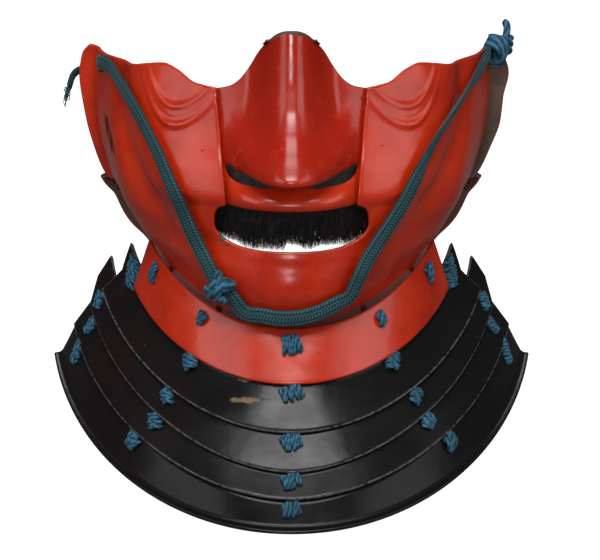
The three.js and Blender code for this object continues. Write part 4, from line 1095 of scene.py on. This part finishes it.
NOSE_EDGE = table(
    "up edge edge_z middle_z",
    (0.0, seam_x(LIP_HEIGHT) + SEAM_LAP, LIP_HEIGHT, LIP_HEIGHT),
    (0.52, seam_x(0.9 * CHEEK_HEIGHT) + SEAM_LAP, 0.9 * CHEEK_HEIGHT, 0.6 * NOSE_HEIGHT),
    (0.55, seam_x(CHEEK_HEIGHT) + 0.9 * SEAM_LAP, 0.945 * CHEEK_HEIGHT, 0.635 * NOSE_HEIGHT),
    (0.58, 0.48 * SEAM_TOP_WIDTH, 0.96 * CHEEK_HEIGHT, 0.675 * NOSE_HEIGHT),
    (0.63, 0.41 * SEAM_TOP_WIDTH, 0.682 * NOSE_HEIGHT, 0.72 * NOSE_HEIGHT),
    (0.7, 0.335 * SEAM_TOP_WIDTH, 0.72 * NOSE_HEIGHT, 0.775 * NOSE_HEIGHT),
    (0.78, 0.87 * NOSE_TOP_WIDTH, 0.79 * NOSE_HEIGHT, 0.835 * NOSE_HEIGHT),
    (0.87, 0.72 * NOSE_TOP_WIDTH, 0.855 * NOSE_HEIGHT, 0.9 * NOSE_HEIGHT),
    (0.94, 0.6 * NOSE_TOP_WIDTH, 0.9 * NOSE_HEIGHT, 0.95 * NOSE_HEIGHT),
    (1.0, 0.49 * NOSE_TOP_WIDTH, 0.932 * NOSE_HEIGHT, NOSE_HEIGHT),
)
nose_edge, nose_edge_z, nose_middle_z = curves(NOSE_EDGE, "up", "edge edge_z middle_z")
NOSE_COLUMNS, NOSE_ROWS = 151, 150
NOSTRIL_X, NOSTRIL_Z, NOSTRIL_TILT = 0.26 * NOSE_WIDTH, 0.277 * NOSE_HEIGHT, -16
# Wear along the top edge, painted shade beside the wings and down the ridge, and the height above which
# edges chip
TOP_WEAR_REACH, TOP_WEAR_FROM_PY, TOP_WEAR_TO_PY, TOP_WEAR = 2.5, 48, 38, 0.6
SIDE_SHADE_FROM_PX, SIDE_SHADE_TO_PX, SIDE_SHADE = 55, 72, 0.6
RIDGE_SHADE_FOOT, RIDGE_SHADE_TOP, RIDGE_SHADE = (20, 34), (84, 74), 2.4
CHIPPED_FROM, CHIPPED_REACH = 55, 3


def build_nose():
    side = np.linspace(-1, 1, NOSE_COLUMNS)[:, None]
    up = np.linspace(1, 0, NOSE_ROWS)[None]
    points = nose_point(side * nose_edge(up), lerp(nose_middle_z(up), nose_edge_z(up), np.abs(side) ** 2.6))
    points, faces, away, inside = sheet(points, NOSE_PLATE)
    px, py = seen(points)
    height = points[:, 2]
    top_wear = smoothstep(away, TOP_WEAR_REACH, 0) * smoothstep(py, TOP_WEAR_FROM_PY, TOP_WEAR_TO_PY)
    # Painted shade: darker towards the outer sides of the nose plate and down its ridge.
    soil = smoothstep(np.abs(px - CENTRE_PX), SIDE_SHADE_FROM_PX, SIDE_SHADE_TO_PX) * SIDE_SHADE
    ridge_soil = smoothstep(height, *RIDGE_SHADE_FOOT) * smoothstep(height, *RIDGE_SHADE_TOP)
    nose = new_piece(
        "nose_and_lip_plate", points, faces, "red_lacquer", RED_LACQUER,
        edge=away + CHIPPED_REACH * (height < CHIPPED_FROM), inside=inside, bare=0 * away,
        wear=np.maximum(spots(points, RED_SPOTS), TOP_WEAR * top_wear) * (inside < 0.5),
        soil=np.maximum(soil, RIDGE_SHADE * ridge_soil),
    )
    cutters = []
    for way in (-1, 1):
        tilt = math.radians(way * NOSTRIL_TILT)
        middle = nose_point(way * NOSTRIL_X, NOSTRIL_Z) + [0, 1, 0]
        length, drop = NOSTRIL_LENGTH / 2, NOSTRIL_HEIGHT / 2
        axes = [
            [length * math.cos(tilt), 0, -length * math.sin(tilt)],
            [0, NOSE_RISE / 3, 0],
            [drop * math.sin(tilt), 0, drop * math.cos(tilt)],
        ]
        cutters.append(ellipsoid(middle, axes))
    cut(nose, cutters)
    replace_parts(nose, "nose_plate")


# Hair: a brush of strands on a strip behind the upper lip
MOUSTACHE_STRIP, MOUSTACHE_THICKNESS = 6.0, 2.4
HAIR_WIDTH, STRIP_DROP, STRIP_HALF = 65.0, 5.0, 11
STRANDS, STRAND_STEPS, STRAND_SIDES, STRAND_RADIUS = 4600, 7, 3, 0.16
STRIP_SPANS, STRIP_SIDES = 60, 12
# The strands' lengths as shares of the fringe's, and how often each is drawn
CUT_SHARES, CUT_ODDS = (1.0, 0.96, 0.88, 0.7), (0.42, 0.32, 0.18, 0.08)
SHORTEST_HAIR, LONGEST_HAIR = 5, 19
FAN_PX = 2.2
# Where the fringe ends in the photograph's frame
TIP_PX = table(
    "px py",
    (207, 230),
    (214, 234),
    (236, 238),
    (246, 246),
    (283, 248),
    (287, 241),
    (298, 243),
    (307, 248),
    (320, 243),
    (365, 242),
    (374, 234),
)


def hair_back(x):
    """Where the strip's middle clears the nose plate's inner face."""
    rows = [LIP_HEIGHT, LIP_HEIGHT + MOUSTACHE_STRIP / 2, LIP_HEIGHT + MOUSTACHE_STRIP]
    inset = NOSE_PLATE / 0.8 + 2.2 * GAP + MOUSTACHE_THICKNESS / 2
    return np.max([nose_point(x, row)[..., 1] for row in rows], 0) + inset


def build_hair():
    parts = []
    x = rng.uniform(-0.5, 0.5, STRANDS) * HAIR_WIDTH
    depth = rng.uniform(-0.5, 1.0, STRANDS) * MOUSTACHE_THICKNESS
    root = np.stack([x, hair_back(x) + depth, LIP_HEIGHT + rng.uniform(-1, 4, STRANDS)], 1)
    fan = x / HAIR_WIDTH * 3 + rng.normal(0, 0.8, STRANDS)
    px, py = seen(root)
    tips = np.interp(px + FAN_PX * fan, TIP_PX["px"], TIP_PX["py"])
    reach = (tips - py) * PIXEL / math.cos(VIEW_ELEVATION)
    reach = reach * rng.choice(CUT_SHARES, STRANDS, p=CUT_ODDS) + rng.normal(0, 0.35, STRANDS)
    reach = np.clip(reach, SHORTEST_HAIR, LONGEST_HAIR)
    bow = rng.normal(0, 0.9, STRANDS)
    t = np.linspace(0, 1, STRAND_STEPS)
    for k in range(STRANDS):
        back = (0.6 - 1.6 * rng.random()) * t**2 + bow[k] * 0.4 * t**2
        path = root[k] + np.stack([fan[k] * t**1.5, back, -reach[k] * t + bow[k] * 0.3 * t * (1 - t)], 1)
        parts.append(tube(path, STRAND_RADIUS * (1.15 - t), STRAND_SIDES, caps=False))
    run = np.linspace(-0.5, 0.5, STRIP_SPANS) * HAIR_WIDTH
    middle = np.stack([run, hair_back(run), 0 * run + LIP_HEIGHT + STRIP_DROP], 1)
    turn = around(STRIP_SIDES)
    ring = np.stack([0 * turn, 0.5 * MOUSTACHE_THICKNESS * np.cos(turn), STRIP_HALF * np.sin(turn)], 1)
    ends = [face[::-1] for face in end_faces(STRIP_SPANS, STRIP_SIDES)]
    faces = grid_faces(STRIP_SPANS, STRIP_SIDES, closed=True).tolist() + ends
    parts.append(((middle[:, None] + ring).reshape(-1, 3), faces))
    points, faces = merged(parts)
    hair = new_piece("hair_fringe", points, faces, "hair", HAIR)
    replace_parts(hair, "moustache")


# Braids and knots
PLY_PITCH, ROPE_STEP = 3.4, 0.45


def rope(path, radius, steps=None, plies=2, sides=14, phase=0.0):
    """A twisted strand along a path, and its yarn mask."""
    path = np.asarray(path, float)
    run = run_along(path)
    at = np.linspace(0, run[-1], steps or max(8, int(run[-1] / ROPE_STEP)))
    path = sampled(path, run, at)

    def crown(i, turn):
        return np.abs(np.cos((plies * turn - 2 * math.pi * at[i] / (PLY_PITCH * radius) + phase) / 2))

    def section(i, turn):
        return 0.8 + 0.22 * crown(i, turn) ** 0.7

    ends = np.minimum(1, np.minimum(at, run[-1] - at) / radius + 0.35)
    points, faces = tube(path, radius * ends, sides, section)
    # The crown share is the yarn mask: from it the braid paints shade between the plies and a highlight on
    # their crowns.
    return points, faces, crown(np.arange(len(at))[:, None], around(sides)[None]).ravel()


def bent(points, steps=28):
    """A smooth path through a few points."""
    points = np.asarray(points, float)
    padded = np.vstack([2 * points[0] - points[1], points, 2 * points[-1] - points[-2]])
    path = []
    for at in np.linspace(0, len(points) - 1, steps):
        i = min(int(at), len(points) - 2)
        a, b, c, d = padded[i : i + 4]
        u = at - i
        square, cube = 2 * a - 5 * b + 4 * c - d, 3 * b - a - 3 * c + d
        path.append(0.5 * (2 * b + (c - a) * u + square * u**2 + cube * u**3))
    return np.array(path)


def woven_piece(name, slot, material, parts):
    """One piece of many strands, each given as its points, faces and yarn mask."""
    points, faces = merged([part[:2] for part in parts])
    yarn = np.concatenate([part[2] for part in parts])
    return new_piece(name, points, faces, slot, material, yarn=yarn)


KNOT_STRAND = 0.8


def knot_strands(place, count, stack, reach, lift, turn):
    """Short twisted strands side by side, which arch out of a hole over a lame's face and back."""
    point, level, fall, normal = place
    strands = []
    lean = math.radians(turn)
    along = fall * math.cos(lean) + level * math.sin(lean)
    across = level * math.cos(lean) - fall * math.sin(lean)
    for k in range(int(count)):
        shift = ((k + 0.5) / count - 0.5) * (stack - 2 * KNOT_STRAND)
        half = reach / 2 * (1 - 0.5 * (2 * abs(shift) / stack) ** 2) + rng.uniform(-0.3, 0.3)
        skew = rng.uniform(-0.8, 0.8)
        top = lift + rng.uniform(-0.2, 0.45)
        at = lambda side, down, out: point + across * side + along * down + normal * out
        bend = [
            at(shift * 0.4, -0.3, -1.0),
            at(shift + skew, -half, 0.9),
            at(shift + skew * 0.4, -half * 0.4, top),
            at(shift - skew * 0.4, half * 0.4, top),
            at(shift - skew, half, 0.9),
            at(shift * 0.4, 0.3, -1.0),
        ]
        strands.append(rope(bent(bend), KNOT_STRAND, phase=rng.uniform(0, 6), sides=10))
    return strands


STRAP_SIDES, STRAP_STEP, STRAP_STITCH = 16, 0.6, 1.6


def strap(stations):
    """The flat lace that runs down inside the lames."""
    points, level, _, normal = (np.array(column) for column in zip(*stations))
    run = run_along(points)
    at = np.linspace(0, run[-1], int(run[-1] / STRAP_STEP))
    middle, level, normal = (sampled(values, run, at) for values in (points, level, normal))
    level, normal = unit(level), unit(normal)
    turn = around(STRAP_SIDES)
    flat, thick = flattened(np.cos(turn), 0.6), flattened(np.sin(turn), 0.7)
    # The weave is the yarn mask: from it the braid paints shade between the stitches and a highlight on
    # them.
    weave = 0.5 + 0.5 * np.cos(2 * math.pi * (at[:, None] / STRAP_STITCH + np.abs(flat)[None]))
    swell = 1 + 0.12 * (weave - 0.5)
    ring = level[:, None] * (LACE_WIDTH / 2 * flat)[None, :, None]
    ring = ring + normal[:, None] * (LACE_THICKNESS / 2 * thick[None] * swell)[..., None]
    faces = grid_faces(len(at), STRAP_SIDES, closed=True).tolist() + end_faces(len(at), STRAP_SIDES)
    return (middle[:, None] + ring).reshape(-1, 3), faces, weave.ravel()


# The knots' strands, lame by lame: how many, the width that they stack up to, their reach and lift in
# millimetres, and their turn from the way that the lame falls, in degrees
KNOT_COLUMNS = "count stack reach lift turn"
KNOT_STYLES = {
    "end": table(
        KNOT_COLUMNS,
        (4, 5.5, 8, 1.5, 10),
        (10, 13.5, 8, 2.4, 78),
        (6, 8, 6.5, 1.6, 70),
        (8, 11, 5, 1.6, 86),
        (8, 11.5, 5.5, 1.7, 84),
    ),
    "mid": table(
        KNOT_COLUMNS,
        (4, 5, 6, 1.6, 25),
        (7, 8.6, 6.6, 1.9, 50),
        (6, 7, 5.6, 1.7, 45),
        (6, 7.6, 6.2, 1.7, 40),
        (6, 7.4, 7.2, 1.7, 20),
    ),
    "center": table(
        KNOT_COLUMNS,
        (7, 9, 8.4, 2.4, 15),
        (7, 10.5, 6.4, 2.0, 20),
        (7, 9.5, 6.2, 1.9, 15),
        (6, 9, 6, 1.8, 20),
        (6, 8.6, 5.8, 1.8, 15),
    ),
}
STRAP_INSET = LAME_PLATE + 2 * GAP + LACE_THICKNESS / 2


def deeper(place, depth):
    """A place moved inwards to where the strap runs."""
    return place[0] - place[3] * (STRAP_INSET + depth), *place[1:]


def build_lacing():
    for name, side, angles, raised in LACE_COLUMNS:
        styles = list(zip(*KNOT_STYLES[name.split("_")[1]].values()))
        parts, stations = [], []
        for lame, angle in enumerate(angles):
            place = knot_place(lame, side * angle, raised)
            lifted = lame == 1 and raised
            knot_station = deeper(place, LAP_DEPTH if lame and not lifted else 3 * GAP)
            slack = 4 * GAP if lifted else 0
            top, bend = (deeper(place_on(lame, side * angle, share), slack) for share in (0, 1))
            if lame == 0:
                stations.append(knot_station)
            else:
                stations += [top, knot_station, bend] if lifted else [top, bend, knot_station]
            count, stack, reach, lift, turn = styles[lame]
            parts += knot_strands(place, count, stack, reach, lift, side * turn)
            stem = np.linspace(knot_station[0], place[0] + place[3] * 1.5, 8)
            parts.append(rope(stem, STEM_RADIUS, steps=8))
        point, _, _, normal = knot_place(0, side * angles[0], raised)
        inner, _ = jaw_anchor(point, normal)
        parts.append(rope(np.linspace(inner, point - normal * STRAP_INSET, 12), STEM_RADIUS, steps=12))
        parts.append(strap(stations))
        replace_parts(woven_piece(name + "_silk", "blue_braid", BLUE_BRAID, parts), name)


FRAY_STRANDS, FRAY_RADIUS = 34, 0.22


def frayed_end(point, tangent, normal, level):
    """Loose strands at the cord's cut end, which spread as they leave it."""
    strands = []
    for k in range(FRAY_STRANDS):
        shift = rng.uniform(-0.46, 0.46) * CORD_WIDTH
        out = rng.uniform(-0.3, 0.3) * CORD_THICKNESS
        length = rng.uniform(2.5, 7.5)
        spread = 1.5 * shift + rng.normal(0, 1.1)
        droop = rng.uniform(0, 0.35) * length
        root = point + level * shift + normal * out
        path = [
            root + tangent * 1.2,
            root - tangent * length * 0.45 + level * spread * 0.25,
            root - tangent * length * 0.8 + level * spread * 0.8 + normal * rng.normal(0, 0.6),
            root - tangent * length + level * spread * 1.25 - np.array([0, 0, droop]),
        ]
        strand = bent(path, 14)
        points, faces = tube(strand, FRAY_RADIUS * np.linspace(1, 0.5, len(strand)), 6)
        strands.append((points, faces, np.full(len(points), rng.uniform(0.6, 1.0))))
    return strands


CORD_STATIONS, CORD_AROUND, CORD_RIBS, STITCH = 1800, 48, 4, 1.3
LOOP_COLUMNS = "turns wide thick tilt across along out pitch radius"
KNOT_LOOPS = table(
    LOOP_COLUMNS,
    (2.2, 4.2, 3.0, 0.25, 0, 0, 1.6, 2.9, 1.7),
    (1.1, 4.6, 2.8, -0.75, 0.6, -1.5, 1.8, 2.0, 1.5),
)
WRAP_LOOPS = table(
    LOOP_COLUMNS,
    (3.2, 4.6, 4.2, 0.1, 2, 6.5, 1.5, 3.0, 1.6),
    (2.2, 5.0, 4.4, 0.9, 1.5, 13.0, 2.0, 3.0, 1.6),
)
# Loose ends, by their way across, along and out of the cord
KNOT_ENDS = (
    ((-1, -1, 3.4), (-4, -2.6, 3.0), (-7.2, -4.4, 1.9)),
    ((-1, 1, 3.4), (-4, 2.4, 3.0), (-7.4, 4.2, 1.9)),
)
WRAP_ENDS = (((-1, 12, 4.5), (-4, 16, 4.2), (-7.5, 18.5, 2.6)),)
END_RADIUS, LOOP_STEPS = 1.7, 40


def coil(place, loops, ends, name, node):
    """Loops of twisted cord around a place on the face cord, with loose ends."""
    point, tangent, normal, level = (values[0] for values in cord_station(place))
    parts = []
    for turns, wide, thick, tilt, to_side, onward, out, pitch, radius in zip(*loops.values()):
        steps = np.linspace(0, 2 * math.pi * turns, int(LOOP_STEPS * turns))[:, None]
        across = level * math.cos(tilt) + tangent * math.sin(tilt)
        along = tangent * math.cos(tilt) - level * math.sin(tilt)
        middle = point + level * to_side + tangent * onward + normal * out
        around_it = np.cos(steps) * across * wide + np.sin(steps) * normal * thick
        path = middle + around_it + (steps / (2 * math.pi) - turns / 2) * along * pitch
        parts.append(rope(path, radius, plies=3, phase=tilt))
    for end in ends:
        path = [point + level * a + tangent * b + normal * c for a, b, c in end]
        parts.append(rope(bent(path), END_RADIUS, plies=3))
    piece = woven_piece(name, "teal_cord", BLUE_BRAID, parts)
    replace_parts(piece, node)
    return piece


def build_cord():
    u = np.linspace(0, 1, CORD_STATIONS)
    point, tangent, normal, level = cord_station(u)
    turn = 2 * math.pi * (np.arange(CORD_AROUND) + 0.5) / CORD_AROUND
    flat, thick = flattened(np.cos(turn), 0.8), flattened(np.sin(turn), 0.75)
    lane = (flat + 1) / 2 * CORD_RIBS
    within = lane % 1
    slant = np.where(np.floor(np.clip(lane, 0, CORD_RIBS - 0.01)) % 2 == 0, within, 1 - within)
    rib = np.abs(np.sin(math.pi * lane)) ** 0.6
    stitch = 0.5 + 0.5 * np.cos(2 * math.pi * (u[:, None] * CORD_LENGTH / STITCH + slant[None] * 0.9))
    # The yarn mask: from it the braid paints shade between ribs and stitches and a highlight on their
    # crowns.
    yarn = rib[None] * (0.25 + 0.75 * stitch)
    relief = 0.72 + 0.28 * (0.55 * rib[None] + 0.45 * yarn)
    ring = level[:, None] * (CORD_WIDTH / 2 * flat * 0.99)[None, :, None]
    ring = ring + normal[:, None] * (CORD_THICKNESS / 2 * thick[None] * relief)[..., None]
    points = (point[:, None] + ring).reshape(-1, 3)
    faces = grid_faces(CORD_STATIONS, CORD_AROUND, closed=True).tolist()
    faces += end_faces(CORD_STATIONS, CORD_AROUND)
    cord = new_piece("braided_cord", points, faces, "teal_cord", TEAL_BRAID, yarn=yarn.ravel())
    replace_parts(cord, "face_cord")
    parts = frayed_end(point[0], tangent[0], normal[0], level[0])
    frays = woven_piece("cord_frayed_end", "teal_cord", BLUE_BRAID, parts)
    knot = coil(KNOT_AT, KNOT_LOOPS, KNOT_ENDS, "cord_knot_braid", "cord_knot")
    wrap = coil(1.0, WRAP_LOOPS, WRAP_ENDS, "cord_wrap_braid", "cord_wrap")


# Studio
LIGHT_AIM = (0, 0, -0.02)
WORLD_FILL, WORLD_SHOWN = 0.09, 1.0
FLOOR_REACH, FLOOR_GLOW, FLOOR_ROUGH = 6.0, 0.97, 0.9
FLOOR_GREY, FLOOR_SHOWN = (0.12, 0.12, 0.12, 1), (0.3, 0.3, 0.3, 1)
WHITE = (1, 1, 1, 1)


def light(name, place, size, power, tall=None):
    """An area light that faces the guard."""
    data = bpy.data.lights.new(name, "AREA")
    data.energy, data.size = power, size
    if tall:
        data.shape, data.size_y = "RECTANGLE", tall
    lamp = bpy.data.objects.new(name, data)
    lamp.location = place
    lamp.rotation_euler = (Vector(LIGHT_AIM) - Vector(place)).to_track_quat("-Z", "Y").to_euler()
    bpy.context.scene.collection.objects.link(lamp)


def build_studio():
    scene = bpy.context.scene
    scene.view_settings.view_transform = "Standard"
    world = bpy.data.worlds.new("studio")
    scene.world = world
    world.use_nodes = True
    nodes, links = world.node_tree.nodes, world.node_tree.links
    background = nodes["Background"]
    path = nodes.new("ShaderNodeLightPath")
    strength = nodes.new("ShaderNodeMapRange")
    strength.inputs["To Min"].default_value = WORLD_FILL
    strength.inputs["To Max"].default_value = WORLD_SHOWN
    links.new(path.outputs["Is Camera Ray"], strength.inputs["Value"])
    links.new(strength.outputs["Result"], background.inputs["Strength"])
    background.inputs["Color"].default_value = WHITE
    light("key softbox", (-0.03, -0.84, 1.0), 0.7, 9, tall=0.2)
    light("top softbox", (0.0, -0.35, 1.5), 0.8, 8, tall=0.5)
    light("left softbox", (-1.5, -1.1, 0.8), 1.3, 9, tall=1.1)
    light("right softbox", (1.5, -1.0, 0.8), 1.3, 9, tall=1.1)
    light("front lamp", (-0.05, -1.45, 0.5), 0.14, 3.5)
    light("back softbox", (0, 0.9, 1.2), 0.5, 4)
    low = float(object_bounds()[0].z)
    corners = [(x * FLOOR_REACH, y * FLOOR_REACH, low) for x, y in ((-1, -1), (1, -1), (1, 1), (-1, 1))]
    mesh = bpy.data.meshes.new("floor")
    mesh.from_pydata(corners, [], [(0, 1, 2, 3)])
    floor = bpy.data.objects.new("floor", mesh)
    scene.collection.objects.link(floor)
    s = Shader("floor")
    shown = s.add("ShaderNodeLightPath").outputs["Is Camera Ray"]
    pale = s.blend(FLOOR_GREY, FLOOR_SHOWN, shown)
    s.feed(s.surface.inputs["Emission Strength"], s.times(shown, FLOOR_GLOW))
    mesh.materials.append(s.finish(Base_Color=pale, Roughness=FLOOR_ROUGH, Emission_Color=WHITE))


build_shell()
build_lames()
build_nose()
build_hair()
build_lacing()
build_cord()
build_studio()
